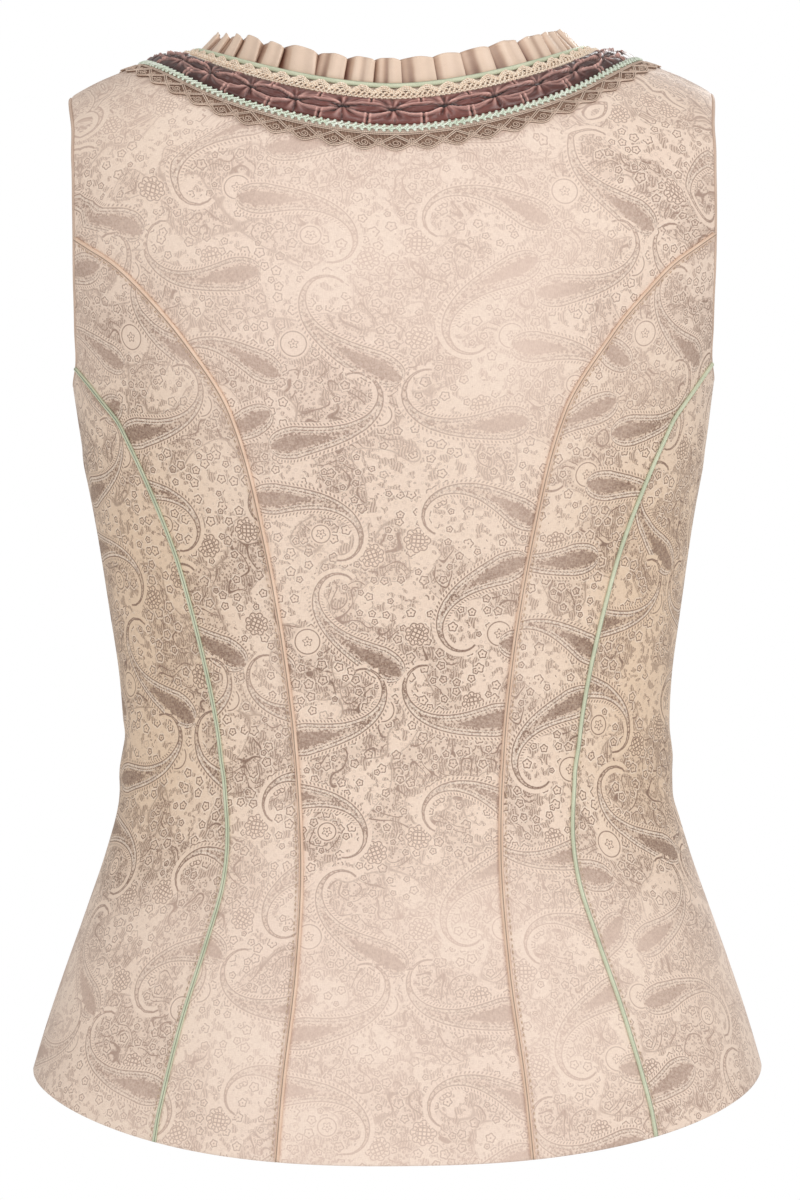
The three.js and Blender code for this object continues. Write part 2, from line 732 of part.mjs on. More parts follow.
function frillSection(entry, out) {
  const rise = entry.way.clone().negate().addScaledVector(entry.normal, FRILL.lean).normalize();
  const face = entry.normal.clone().addScaledVector(entry.way, FRILL.lean).normalize();
  const foot = entry.ray[0].clone().addScaledVector(entry.normal, -WALL / 2);
  const put = (level, layer) => {
    const spread = (FRILL.footDepth + (FRILL.depth - FRILL.footDepth) * level) * (out - 0.5);
    return foot.clone().addScaledVector(rise, FRILL.start + FRILL.height * level)
      .addScaledVector(face, spread + layer * FRILL.wall);
  };
  return [put(0, -0.5), put(0.5, -0.5), put(1, -0.5), put(1, 0.5), put(0.5, 0.5), put(0, 0.5)];
}

function buildFrill() {
  const pleats = Math.round(NECK_LENGTH / FRILL.pitch);
  const fineSteps = pleats * PLEAT_STEPS;
  const rays = neckRays(fineSteps);
  const half = [];
  for (let pleat = 0; pleat < pleats; pleat += 1) {
    for (const row of PLEAT) {
      half.push(frillSection(rays[Math.round((pleat + row.phase) * PLEAT_STEPS)], row.out));
    }
  }
  const lastRing = frillSection(rays[fineSteps], PLEAT[0].out);
  half.push(keepOffMiddle(lastRing));
  const rings = [...half.slice(1).reverse().map((ring) => ring.map(mirrored)), ...half];
  addPiece('neck_frill', rod(rings), COLOURS.frill);
}

// One hook and one eye at a height on the front opening, inside the cloth.
function buildFastener(number, z) {
  const outside = faceAt(0, z, -1);
  const inward = outward(outside).negate();
  const up = inward.clone().cross(new THREE.Vector3(1, 0, 0)).normalize();
  const foot = outside.clone().addScaledVector(inward, WALL);
  const at = (x, depth, height) => foot.clone().addScaledVector(inward, depth)
    .addScaledVector(up, height).add(new THREE.Vector3(x, 0, 0));
  const near = HOOK.lift;
  const far = HOOK.lift + HOOK.metal;
  const drop = HOOK.metal + HOOK_BEND.clear;
  const outline = [
    { x: HOOK.reach, depth: near },
    { x: HOOK_BEND.far, depth: near },
    { x: HOOK_BEND.near, depth: near + drop },
    { x: HOOK_BEND.tip, depth: near + drop },
    { x: HOOK_BEND.tip, depth: far + drop },
    { x: HOOK_BEND.near + HOOK_BEND.slant, depth: far + drop },
    { x: HOOK_BEND.far + HOOK_BEND.slant, depth: far },
    { x: HOOK.reach, depth: far },
  ];
  const rings = [-0.5, 0.5].map((edge) => outline.map(({ x, depth }) => at(x, depth, HOOK.width * edge)));
  addPiece(`hook_${number}`, rodFromOutline(rings), COLOURS.metal);

  const frame = [
    { far: HOOK.reach, near: EYE.near, half: EYE.half },
    { far: EYE.holeFar, near: EYE.holeNear, half: EYE.holeHalf },
  ];
  const corners = ({ far: x1, near: x0, half }) => [[-x1, -half], [-x0, -half], [-x0, half], [-x1, half]];
  const loops = frame.map(corners);
  const section = [[loops[0], near], [loops[0], far], [loops[1], far], [loops[1], near]];
  const eyeRings = [0, 1, 2, 3].map((corner) => section.map(
    ([loop, depth]) => at(loop[corner][0], depth, loop[corner][1])));
  addPiece(`eye_${number}`, rod(eyeRings, true), COLOURS.metal);
}

// A prism between two like outlines that may be hollow on one side.
function rodFromOutline([first, second]) {
  const flat = first.map((p) => new THREE.Vector2(p.x, p.y));
  const caps = THREE.ShapeUtils.triangulateShape(flat, []);
  const sides = first.length;
  const faces = caps.map(([a, b, c]) => [a, c, b]);
  for (const [a, b, c] of caps) faces.push([a + sides, b + sides, c + sides]);
  const turning = THREE.ShapeUtils.area(flat) > 0;
  for (let k = 0; k < sides; k += 1) {
    const next = (k + 1) % sides;
    const quad = turning ? [k, next, next + sides, k + sides] : [k, k + sides, next + sides, next];
    faces.push([quad[0], quad[1], quad[2]], [quad[0], quad[2], quad[3]]);
  }
  return solidFrom([...first, ...second], faces);
}

buildBack();
buildPanels();
buildPiping('back_seam_piping', seams.back, COLOURS.beige);
buildPiping('side_seam_piping', seams.side, COLOURS.mint);
buildArmholeEdging();
buildBand('neck_piping', BAND_STEPS,
  flatSection(TRIM_START, NECK_PIPING.width, NECK_PIPING.height, NECK_PIPING.bevel), COLOURS.mint);
buildBand('neck_gimp', BAND_STEPS, flatSection(gimpStart, GIMP.width, GIMP.height), COLOURS.gimp);
buildBand('ruched_ribbon', Math.round(NECK_LENGTH / RUCHE.pitch) * RUCHE_STEPS, rucheSection,
  COLOURS.satin);
buildBand('mint_braid', BAND_STEPS, (entry) => flatSection(
  braidStart(entry.part), BRAID.width, BRAID.height)(entry), COLOURS.braid);
buildBand('lace_edging', Math.round(NECK_LENGTH / LACE.pitch) * LACE_STEPS, laceSection, COLOURS.lace);
buildFrill();
for (let i = 0; i < HOOK.count; i += 1) {
  buildFastener(i + 1, HOOK.top + ((HOOK.bottom - HOOK.top) * i) / (HOOK.count - 1));
}

export default bodice;
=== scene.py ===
import math

import bpy
import numpy as np
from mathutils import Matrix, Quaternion, Vector


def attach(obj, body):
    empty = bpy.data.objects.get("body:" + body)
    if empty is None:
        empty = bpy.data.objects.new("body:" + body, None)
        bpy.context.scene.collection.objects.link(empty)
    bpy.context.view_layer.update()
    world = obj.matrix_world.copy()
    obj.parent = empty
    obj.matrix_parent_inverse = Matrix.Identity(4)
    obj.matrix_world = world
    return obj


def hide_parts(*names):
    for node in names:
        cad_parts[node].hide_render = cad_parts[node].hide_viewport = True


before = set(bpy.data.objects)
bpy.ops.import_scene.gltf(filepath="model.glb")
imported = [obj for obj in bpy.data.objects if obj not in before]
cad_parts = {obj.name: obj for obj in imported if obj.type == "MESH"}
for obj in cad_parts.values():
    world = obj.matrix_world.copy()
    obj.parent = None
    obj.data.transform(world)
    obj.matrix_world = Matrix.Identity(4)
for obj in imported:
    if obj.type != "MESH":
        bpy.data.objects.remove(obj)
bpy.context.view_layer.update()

# The looks of a traditional brocade bodice, worn shape, with nobody in it.
# Lengths are millimetres until a mesh is made, and metres from there on.

MM = 0.001

# The figure that the cloth follows: height, half width, depth behind, depth in front, squareness.
FIGURE = [
    (30, 206, 98, 88, 3.0), (-30, 190, 102, 96, 3.0), (-55, 177, 104, 99, 2.95),
    (-75, 168, 105, 101, 2.88), (-100, 160, 105, 102, 2.76), (-120, 155, 104, 103, 2.64),
    (-135, 151.6, 103, 104, 2.55), (-150, 149.3, 101, 104.5, 2.46), (-180, 145.4, 95.5, 104.5, 2.4),
    (-215, 139, 88, 101, 2.4), (-252, 133.5, 80.5, 97, 2.4), (-280, 129.8, 76, 95.5, 2.4),
    (-307, 128.5, 74, 96, 2.4), (-337, 130.6, 76.5, 98, 2.4), (-360, 136.8, 82.5, 101, 2.4),
    (-384, 145, 91, 104, 2.4), (-415, 155.8, 101, 107.5, 2.4), (-440, 164.3, 107, 110, 2.4),
    (-463, 171.3, 111.5, 111.5, 2.4), (-512, 184, 116, 113, 2.4),
]
# The cap that closes the figure at the shoulders: it starts at a height, and rises by its height.
CAP_START = -100
CAP_HEIGHT = 118
NECK_RISE = 22
CAP_POWER = 2.5
DEPTH_POWER = 2.2
# The bust: place and rise of each cup, and how far it spreads.
CUP_X, CUP_Z, CUP_RISE, CUP_WIDE, CUP_ABOVE, CUP_BELOW = 80, -182, 24, 40, 46, 36
# The hem: its height at the sides, and how far it dips at the middle behind and in front.
HEM_SIDE, HEM_BACK_DIP, HEM_FRONT_DIP, HEM_HALF, HEM_ROUND, HEM_POWER = -463, 38, 27, 171.3, 2.4, 1.35
# The neck edge: its half width at the shoulders, its height at the middle behind, and points (x, z)
# of its front.
NECK_HALF, NECK_BACK_Z, NECK_POWER = 90, -7, 1.75
FRONT_NECK = [(95, 0), (96, -26), (90, -54), (74, -84), (49, -107), (23, -119), (0, -122)]
# The armhole: heights of its points behind, and points (x, z) of its front. It has keys all round,
# and a panel seam starts at some of them.
ARM_TIP_X, ARM_BACK_X, UNDERARM_Z = 149.5, 148.3, -143
ARM_BACK = [-22, -40, -58, -75, -96, -117, -134]
ARM_FRONT = [(147.6, -131), (143.5, -112), (140.5, -88), (140.5, -62), (142.5, -40), (146, -21)]
ARM_KEYS = 2 + len(ARM_BACK) + len(ARM_FRONT)
BACK_SEAM_KEY, SIDE_SEAM_KEY, FRONT_SEAM_KEY = 4, 7, 11
BACK_SEAM_TOP, SIDE_SEAM_TOP, FRONT_SEAM_TOP = -75, -134, -88
# The seams of one side, as heights and distances from the middle.
BACK_SEAM = [
    (-75, 148.3), (-88, 129.5), (-101, 116.5), (-124, 97.5), (-157, 77), (-216, 61.5),
    (-290, 50), (-358, 45.8), (-412, 48.6), (-464, 55.2), (-505, 59),
]
SIDE_SEAM = [
    (-134, 148.3), (-147, 138.5), (-163, 127.3), (-197, 111.7), (-230, 100), (-289, 86),
    (-345, 79.6), (-372, 81.5), (-399, 89.4), (-434, 101), (-475, 112), (-495, 115.5),
]
FRONT_SEAM = [
    (-88, 140.5), (-101, 127), (-120, 111), (-150, 95), (-185, 84), (-225, 74), (-270, 65),
    (-307, 61.5), (-345, 62), (-385, 66.5), (-430, 73.5), (-495, 80),
]
WALL = 2.0
SEAM_GAP = 0.3
FINE = 240
POINTS_PER_KEY = 60
SLOPE_STEP = 0.05
SETTLE_TURNS = 20
MIRRORS = {"left": np.array([1, 1, 1]), "right": np.array([-1, 1, 1])}


def clip(value):
    """A value held between 0 and 1."""
    return np.clip(value, 0, 1)


class Table:
    """A smooth curve through rows, read by their first column."""

    def __init__(self, rows):
        rows = np.array(sorted(rows), float)
        self.key = rows[:, 0]
        self.value = rows[:, 1:]
        order = np.arange(len(rows))
        ahead = np.minimum(order + 1, len(rows) - 1)
        behind = np.maximum(order - 1, 0)
        span = (self.key[ahead] - self.key[behind])[:, None]
        self.slope = (self.value[ahead] - self.value[behind]) / span

    def __call__(self, at, column=0):
        at = np.asarray(at, float)
        i = np.clip(np.searchsorted(self.key, at) - 1, 0, len(self.key) - 2)
        span = self.key[i + 1] - self.key[i]
        t = (at - self.key[i]) / span
        s = clip(t)
        a, b = self.value[i, column], self.value[i + 1, column]
        da, db = self.slope[i, column] * span, self.slope[i + 1, column] * span
        inside = ((2 * s**3 - 3 * s**2 + 1) * a + (s**3 - 2 * s**2 + s) * da
                  + (3 * s**2 - 2 * s**3) * b + (s**3 - s**2) * db)
        return inside + (t - s) * np.where(t < 0, da, db)


figure = Table(FIGURE)
HALF, BACK, FRONT, ROUND = range(4)


def cap_term(x, z):
    """What the cap at the shoulders adds to the figure's equation. It rises beside the neck."""
    inside = np.maximum(0, 1 - (x / NECK_HALF) ** 2)
    height = CAP_HEIGHT + NECK_RISE * inside**2
    return np.maximum(0, (z - CAP_START) / height) ** CAP_POWER


def width_term(x, z):
    """What a point's width adds to the figure's equation."""
    return (np.abs(x) / figure(z, HALF)) ** figure(z, ROUND)


def front_depth(x, z):
    """The figure's depth in front, with the bust."""
    across = (np.abs(x) - CUP_X) / CUP_WIDE
    along = (z - CUP_Z) / np.where(z > CUP_Z, CUP_ABOVE, CUP_BELOW)
    return figure(z, FRONT) + CUP_RISE * np.exp(-0.5 * (across**2 + along**2))


def figure_value(p):
    """The figure's equation: zero on it, less inside and more outside."""
    x, y, z = p[..., 0], p[..., 1], p[..., 2]
    depth = np.where(y >= 0, figure(z, BACK), front_depth(x, z))
    return width_term(x, z) + (np.abs(y) / depth) ** DEPTH_POWER + cap_term(x, z) - 1


def gradient(p):
    """The slope of the figure's equation at points."""
    slopes = [figure_value(p + step) - figure_value(p - step) for step in np.eye(3) * SLOPE_STEP]
    return np.stack(slopes, -1) / (2 * SLOPE_STEP)


def unit(v):
    """Vectors at length 1."""
    return v / np.maximum(np.linalg.norm(v, axis=-1, keepdims=True), 1e-12)


def outward(p):
    """The figure's normals at points on it."""
    return unit(gradient(p))


def onto_figure(p, turns=5):
    """Points moved along the slope until they lie on the figure."""
    for _ in range(turns):
        slope = gradient(p)
        p = p - slope * (figure_value(p) / (slope**2).sum(-1))[..., None]
    return p


def face_at(x, z, side):
    """The point of the cloth's outer face at a width and a height: side 1 is the back, -1 the front."""
    x, z = np.broadcast_arrays(np.asarray(x, float), np.asarray(z, float))
    room = np.maximum(0, 1 - width_term(x, z) - cap_term(x, z))
    depth = figure(z, BACK) if side > 0 else front_depth(x, z)
    return np.stack([x, side * depth * room ** (1 / DEPTH_POWER), z], -1)


def shoulder_at(x):
    """The point where the figure's back and front meet, at a width."""
    x = np.asarray(x, float)
    z = np.zeros_like(x)
    inside = np.maximum(0, 1 - (x / NECK_HALF) ** 2)
    for _ in range(SETTLE_TURNS):
        z = CAP_START + (CAP_HEIGHT + NECK_RISE * inside**2) * (1 - width_term(x, z)) ** (1 / CAP_POWER)
    return np.stack([x, np.zeros_like(x), z], -1)


def hem_z(x, side):
    """Height of the hem at a width: side 1 is the back, -1 the front."""
    rest = np.maximum(0, 1 - (np.abs(x) / HEM_HALF) ** HEM_ROUND)
    return HEM_SIDE - (HEM_BACK_DIP if side > 0 else HEM_FRONT_DIP) * rest ** (HEM_POWER / 2)


# Lines on the figure.
def reach_of(points):
    """The length of a line up to each of its points."""
    steps = np.linalg.norm(np.diff(points, axis=0), axis=1)
    return np.concatenate([[0], np.cumsum(steps)])


def resample(points, parts):
    """Points of a line at parts of its length, from 0 to 1."""
    reach = reach_of(points)
    want = np.asarray(parts) * reach[-1]
    return np.stack([np.interp(want, reach, points[:, k]) for k in range(3)], -1)


def seam_line(rows, top, side):
    """A seam on the figure, from the hem up to its top."""
    seam = Table(rows)
    low = float(HEM_SIDE)
    for _ in range(SETTLE_TURNS):
        low = float(hem_z(seam(low), side))
    z = np.linspace(low, top, FINE + 1)
    return face_at(seam(z), z, side)


def middle_line(top, side):
    """The middle line on the figure, from the hem up to its top."""
    z = np.linspace(float(hem_z(0, side)), top, FINE + 1)
    return face_at(0 * z, z, side)


def hem_angle(p):
    """How far round the hem a point lies, from the middle of the back."""
    part = (abs(p[0]) / HEM_HALF) ** HEM_ROUND
    return math.atan2(math.sqrt(part), math.sqrt(max(0, 1 - part)) * (1 if p[1] >= 0 else -1))


def hem_line(start, end):
    """The hem from one of its points to another."""
    angle = np.linspace(hem_angle(start), hem_angle(end), FINE + 1)
    x = HEM_HALF * np.abs(np.sin(angle)) ** (2 / HEM_ROUND)
    back = face_at(x, hem_z(x, 1), 1)
    front = face_at(x, hem_z(x, -1), -1)
    line = np.where((np.cos(angle) >= 0)[:, None], back, front)
    line[0], line[-1] = start, end
    return line


def rounded(keys, closed):
    """A centripetal curve through points."""
    count = len(keys)
    points = []
    for i in range(count if closed else count - 1):
        b, c = keys[i], keys[(i + 1) % count]
        a = keys[i - 1] if closed or i > 0 else 2 * b - c
        d = keys[(i + 2) % count] if closed or i + 2 < count else 2 * c - b
        gaps = [max(np.linalg.norm(q - p), 1e-4) ** 0.5 for p, q in ((a, b), (b, c), (c, d))]
        m = ((b - a) / gaps[0] - (c - a) / (gaps[0] + gaps[1]) + (c - b) / gaps[1]) * gaps[1]
        n = ((c - b) / gaps[1] - (d - b) / (gaps[1] + gaps[2]) + (d - c) / gaps[2]) * gaps[1]
        for t in np.arange(POINTS_PER_KEY) / POINTS_PER_KEY:
            points.append(b + m * t + (3 * (c - b) - 2 * m - n) * t**2 + (2 * (b - c) + m + n) * t**3)
    if not closed:
        points.append(keys[-1])
    return np.array(points)


def back_neck():
    """The neck edge from the middle of the back to the shoulder."""
    high = shoulder_at(NECK_HALF)[2]
    x = NECK_HALF * (1 - (1 - np.linspace(0, 1, FINE + 1)) ** 2)
    return face_at(x, NECK_BACK_Z + (high - NECK_BACK_Z) * (x / NECK_HALF) ** NECK_POWER, 1)


def front_neck():
    """The neck edge from the shoulder to the middle of the front."""
    start = shoulder_at(NECK_HALF)
    keys = [start[[0, 2]]] + [np.array(row, float) for row in FRONT_NECK]
    keys.append(np.array([-FRONT_NECK[-2][0], FRONT_NECK[-2][1]], float))
    line = rounded(keys, False)[: POINTS_PER_KEY * (len(keys) - 2) + 1]
    line = face_at(np.maximum(line[:, 0], 0), line[:, 1], -1)
    line[0] = start
    return line


def armhole_lines():
    """The armhole's part in each panel, and the whole of it as a loop."""
    keys = [shoulder_at(ARM_TIP_X)] + [face_at(ARM_BACK_X, z, 1) for z in ARM_BACK]
    keys.append(np.array([float(figure(UNDERARM_Z, HALF)), 0, UNDERARM_Z]))
    keys += [face_at(x, z, -1) for x, z in ARM_FRONT]
    loop = onto_figure(rounded(keys, True))
    loop = np.concatenate([loop, loop[:1]])
    ends = [0, BACK_SEAM_KEY, SIDE_SEAM_KEY, FRONT_SEAM_KEY, ARM_KEYS]
    parts = [loop[a * POINTS_PER_KEY: b * POINTS_PER_KEY + 1] for a, b in zip(ends, ends[1:])]
    return dict(zip(("back", "side_back", "side", "front"), parts)), loop


SEAMS = {
    "back": seam_line(BACK_SEAM, BACK_SEAM_TOP, 1),
    "side": seam_line(SIDE_SEAM, SIDE_SEAM_TOP, 1),
    "front": seam_line(FRONT_SEAM, FRONT_SEAM_TOP, -1),
}
ARMHOLE, ARM_LOOP = armhole_lines()
NECKS = {"back": back_neck(), "front": front_neck()}
SHOULDER = shoulder_at(np.linspace(NECK_HALF, ARM_TIP_X, FINE + 1))
NECK_LINE = np.concatenate([NECKS["back"], NECKS["front"][1:]])
NECK_LENGTH = reach_of(NECK_LINE)[-1]
SHOULDER_REACH = reach_of(NECKS["back"])[-1]

# Soft creases, as ridges and troughs that run over all the panels alike. Each has its place round the
# body from the middle of the back, its height, its direction, its length, its width and its height.
CREASES = [
    (118, -318, 8, 46, 7, 1.0), (112, -333, -14, 38, 6, -1.1), (128, -297, 20, 34, 7, -0.8),
    (-120, -312, -6, 44, 7, 0.9), (-108, -328, 12, 40, 6, -1.0), (-131, -342, 24, 30, 6, 0.8),
    (60, -300, 4, 30, 8, -0.5), (-48, -318, -5, 34, 8, 0.45), (18, -336, 3, 36, 9, -0.4),
    (205, -322, -10, 48, 7, 1.1), (214, -305, 6, 40, 6, -1.0), (-209, -317, 9, 46, 7, 1.0),
    (-222, -334, -12, 36, 6, -1.0), (262, -250, 62, 34, 7, -0.9), (-266, -246, -60, 32, 7, -0.9),
    (250, -150, 38, 40, 8, -1.1), (-252, -148, -42, 40, 8, -1.0), (238, -168, 30, 34, 7, 0.8),
    (-240, -170, -34, 30, 7, 0.8), (150, -176, -38, 36, 8, -0.7), (-152, -182, 40, 34, 8, -0.7),
    (122, -78, -56, 34, 8, 0.5), (-120, -84, 58, 36, 8, 0.5), (104, -112, -48, 40, 9, -0.5),
    (-98, -120, 50, 38, 9, -0.45), (330, -330, -8, 40, 7, 0.9), (-338, -322, 6, 38, 7, -0.9),
    (350, -228, 70, 30, 6, 0.6), (-352, -232, -72, 30, 6, 0.6), (30, -196, 12, 60, 14, -0.35),
    (-34, -150, -8, 60, 14, 0.35), (8, -96, 4, 70, 12, -0.35), (-14, -408, 84, 46, 12, 0.5),
    (30, -430, 88, 46, 11, -0.45), (-132, -420, 84, 44, 10, 0.8), (-98, -432, 94, 40, 9, -0.6),
    (140, -424, 98, 44, 10, 0.8), (104, -430, 82, 40, 9, -0.6), (230, -430, 86, 42, 11, 0.9),
    (-236, -426, 95, 42, 11, 0.9), (330, -420, 88, 40, 11, -0.7), (-322, -424, 92, 40, 11, 0.7),
]
ROUND_SCALE = 135
QUIET_NEAR_NECK = 34
CREASE_BOW = 0.9
DRAPE = 0.25
FLARE_Z, FLARE_REACH, FLARE_RISE = -385, 90, 1.1


def around(p):
    """Place round the body, from the middle of the back, in millimetres at the waist."""
    x, y, z = p[..., 0], p[..., 1], p[..., 2]
    depth = np.where(y >= 0, figure(z, BACK), figure(z, FRONT))
    return ROUND_SCALE * np.arctan2(x / figure(z, HALF), y / depth)


def crease_at(p):
    """How far the cloth stands out from the figure. Near the neck, where trims lie on it, it is calm."""
    w, z = around(p), p[..., 2]
    total = DRAPE * np.sin(w / 21 + z / 33) * np.sin(z / 27 - w / 55)
    for place, height, turn, length, width, rise in CREASES:
        c, s = math.cos(math.radians(turn)), math.sin(math.radians(turn))
        dw, dz = w - place, z - height
        along = (dw * c + dz * s) / length
        across = (dz * c - dw * s) / width - CREASE_BOW * along**2
        total = total + rise * np.exp(-along**2 - across**2)
    flare = clip((FLARE_Z - z) / FLARE_REACH) ** 1.5
    total = total + FLARE_RISE * flare * np.sin(w / 24 + 0.8 * np.sin(w / 61))
    whole = np.stack([np.abs(p[..., 0]), p[..., 1], z], -1)
    near = np.full(w.shape, 1e9)
    for q in NECK_LINE[::12]:
        near = np.minimum(near, ((whole - q) ** 2).sum(-1))
    calm = clip(np.sqrt(near) / QUIET_NEAR_NECK - 0.75)
    return total * calm * calm * (3 - 2 * calm)


# Meshes.
def new_piece(name, points, faces, maps=None, kinds=None, smooth=True):
    """A mesh object from points in millimetres and faces. maps are named corner coordinates."""
    mesh = bpy.data.meshes.new(name)
    faces = np.asarray(faces)
    sides = faces.shape[1]
    mesh.vertices.add(len(points))
    mesh.vertices.foreach_set("co", (np.asarray(points) * MM).astype(np.float32).ravel())
    mesh.loops.add(faces.size)
    mesh.loops.foreach_set("vertex_index", faces.astype(np.int32).ravel())
    mesh.polygons.add(len(faces))
    mesh.polygons.foreach_set("loop_start", np.arange(len(faces), dtype=np.int32) * sides)
    if kinds is not None:
        mesh.polygons.foreach_set("material_index", np.asarray(kinds, np.int32))
    mesh.update(calc_edges=True)
    for map_name, corners in (maps or {}).items():
        layer = mesh.uv_layers.new(name=map_name)
        layer.data.foreach_set("uv", np.asarray(corners, np.float32).ravel())
    mesh.polygons.foreach_set("use_smooth", np.full(len(faces), smooth))
    mesh.validate()
    piece = bpy.data.objects.new(name, mesh)
    bpy.context.scene.collection.objects.link(piece)
    return piece


def finish_piece(piece, slot, nodes, *materials):
    for material in materials:
        piece.data.materials.append(material)
    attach(piece, "root")
    if nodes:
        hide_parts(*nodes)
    return piece


def grid_faces(rows, columns, wrap=False):
    """Four-sided faces of a grid of rows and columns of points. wrap joins the last column to the first."""
    i = np.arange(rows - 1)[:, None]
    j = np.arange(columns if wrap else columns - 1)[None, :]
    k = (j + 1) % columns
    a, b = i * columns + j, i * columns + k
    c, d = (i + 1) * columns + k, (i + 1) * columns + j
    return np.stack([a, b, c, d], -1).reshape(-1, 4)


def closed_quads(rows, columns, joined=0):
    """Faces of a closed sheet: its two layers and its rims, apart from the part of the first rim that
    is joined to another half. The second layer's points follow the first's."""
    count = rows * columns
    index = np.arange(count).reshape(rows, columns)
    quads = grid_faces(rows, columns)
    rims = [index[:, 0], index[::-1, -1], index[0, joined:][::-1], index[-1]]
    sides = [np.stack([a[:-1], a[1:], a[1:] + count, a[:-1] + count], -1) for a in rims]
    return np.concatenate([quads, quads[:, ::-1] + count] + sides)


def turned_out(points, faces, *maps):
    """The faces of a closed mesh and their maps, turned round where the mesh faces inward."""
    a, b, c, d = (points[faces[:, k]] for k in range(4))
    inward = (np.cross(b, c) * a).sum() + (np.cross(c, d) * a).sum() < 0
    return [rows[:, ::-1] if inward else rows for rows in (faces, *maps)]


EDGE_STEPS = np.array([0.35, 1.0, 2.1])


def graded(length, pitch):
    """Parts of a length in even steps, with finer steps near both ends."""
    edges = EDGE_STEPS
    inner = np.linspace(edges[-1], length - edges[-1], max(3, round((length - 2 * edges[-1]) / pitch)))
    every = np.concatenate([[0], edges[:-1], inner, length - edges[:-1][::-1], [length]])
    return every / length


# The brocade's figure. One repeat holds paisleys and blossoms, listed one by one, and every other column of
# repeats is half a repeat lower. Directions are in degrees, and bends in degrees for each millimetre at the
# head, the middle and the tail.
REPEAT_X, REPEAT_Y = 112, 138
HEAD_PART, TAIL_WIDTH, TAPER_POWER, HEAD_POWER = 0.16, 0.06, 1.75, 2.5
PAISLEYS = [
    # middle x and y, direction of the head, length, half width, bends
    (24, 20, 36, 80, 7.8, -1.0, 1.7, 7.4),
    (34, 70, 190, 76, 7.4, -1.2, 1.9, 7.0),
    (24, 116, 166, 78, 7.6, 1.0, -1.8, -7.4),
    (80, 6, 22, 74, 7.2, 1.2, -1.9, -7.2),
    (90, 50, -4, 80, 7.8, -0.8, 1.8, 7.0),
    (80, 98, -30, 78, 7.4, 1.0, -1.9, -7.6),
]
BLOSSOMS = [
    # x, y, radius, turn
    (42, 12, 6.4, 15), (96, 10, 5.2, 40), (12, 52, 5.6, 70), (66, 84, 6.2, 10), (104, 84, 5.4, 25),
    (50, 100, 5.0, 60), (8, 118, 6.0, 35), (104, 128, 5.8, 5), (78, 52, 5.0, 80), (34, 62, 4.6, 50),
]


def stroke(x, y, direction, length, bends):
    """Points 1 mm apart along a curve whose middle lies at x and y, and its direction at each."""
    s = np.arange(0, length + 1.0)
    middle = length / 2
    bend = np.interp(s, [0, middle, length], bends)
    angle = np.radians(direction + np.concatenate([[0], np.cumsum((bend[1:] + bend[:-1]) / 2)]))
    steps = np.stack([np.cos(angle), np.sin(angle)], -1)
    points = np.concatenate([[[x, y]], [[x, y]] + np.cumsum(steps[:-1], axis=0)])
    return points - points.mean(0) + np.array([x, y]), steps


def repeats(points):
    """Copies of points in the neighbouring repeats."""
    shifts = [(i * REPEAT_X, i * REPEAT_Y / 2 + j * REPEAT_Y) for i in range(-2, 3) for j in range(-3, 4)]
    return [points + np.array(shift) for shift in shifts]


def owners(copies, sizes):
    """For each square millimetre of one repeat, the copy that owns it."""
    xs, ys = np.meshgrid(np.arange(REPEAT_X) + 0.5, np.arange(REPEAT_Y) + 0.5, indexing="ij")
    cells = np.stack([xs, ys], -1).reshape(-1, 2)
    best = np.full(len(cells), 1e9)
    owner = np.zeros(len(cells), int)
    for index, (points, size) in enumerate(zip(copies, sizes)):
        low, high = points.min(0) - 45, points.max(0) + 45
        if (high < 0).any() or low[0] > REPEAT_X or low[1] > REPEAT_Y:
            continue
        near = np.full(len(cells), 1e9)
        for p, w in zip(points[::2], size[::2]):
            near = np.minimum(near, np.hypot(*(cells - p).T) / (w + 1.2))
        closer = near < best
        best[closer] = near[closer]
        owner[closer] = index
    return owner.reshape(REPEAT_X, REPEAT_Y)


def head_and_taper(part, clip):
    """Half width of a paisley at a part of its length, as a share: its round head, and the long taper
    that follows."""
    head = clip(1 - abs(1 - part / HEAD_PART) ** HEAD_POWER) ** (1 / HEAD_POWER)
    taper = TAIL_WIDTH + (1 - TAIL_WIDTH) * clip((1 - part) / (1 - HEAD_PART)) ** TAPER_POWER
    return head, taper


class Paisleys:
    """Curves of the repeat, and for any point of the cloth its place along and across the nearest."""

    def __init__(self, rows):
        self.copies, self.steps, self.sizes, weights = [], [], [], []
        for x, y, direction, length, half, *bends in rows:
            points, steps = stroke(x, y, direction, length, bends)
            part = np.linspace(0, 1, len(points))
            weight = half * np.where(part < HEAD_PART, *head_and_taper(part, clip))
            for copy in repeats(points):
                self.copies.append(copy)
                self.steps.append(steps)
                self.sizes.append((half, length))
                weights.append(weight)
        self.owner = owners(self.copies, weights)

    def read(self, corners):
        """Corner coordinates (along, across) and sizes for faces with their four flat corners."""
        middle = corners.mean(1)
        column = np.floor(middle[:, 0] / REPEAT_X)
        x = middle[:, 0] - column * REPEAT_X
        y = middle[:, 1] - column * REPEAT_Y / 2
        row = np.floor(y / REPEAT_Y)
        y = y - row * REPEAT_Y
        shift = np.stack([column * REPEAT_X, column * REPEAT_Y / 2 + row * REPEAT_Y], -1)
        local = corners - shift[:, None, :]
        owner = self.owner[np.minimum(x.astype(int), REPEAT_X - 1), np.minimum(y.astype(int), REPEAT_Y - 1)]
        place = np.zeros(corners.shape)
        size = np.zeros(corners.shape)
        for index in np.unique(owner):
            faces = np.nonzero(owner == index)[0]
            flat = local[faces].reshape(-1, 2)
            points, steps = self.copies[index], self.steps[index]
            gap = ((flat[:, None, :] - points[None]) ** 2).sum(-1)
            k = gap.argmin(1)
            off = flat - points[k]
            s = k + (off * steps[k]).sum(-1)
            d = off[:, 1] * steps[k, 0] - off[:, 0] * steps[k, 1]
            place[faces] = np.stack([s, d], -1).reshape(-1, 4, 2)
            size[faces] = self.sizes[index]
        return place, size


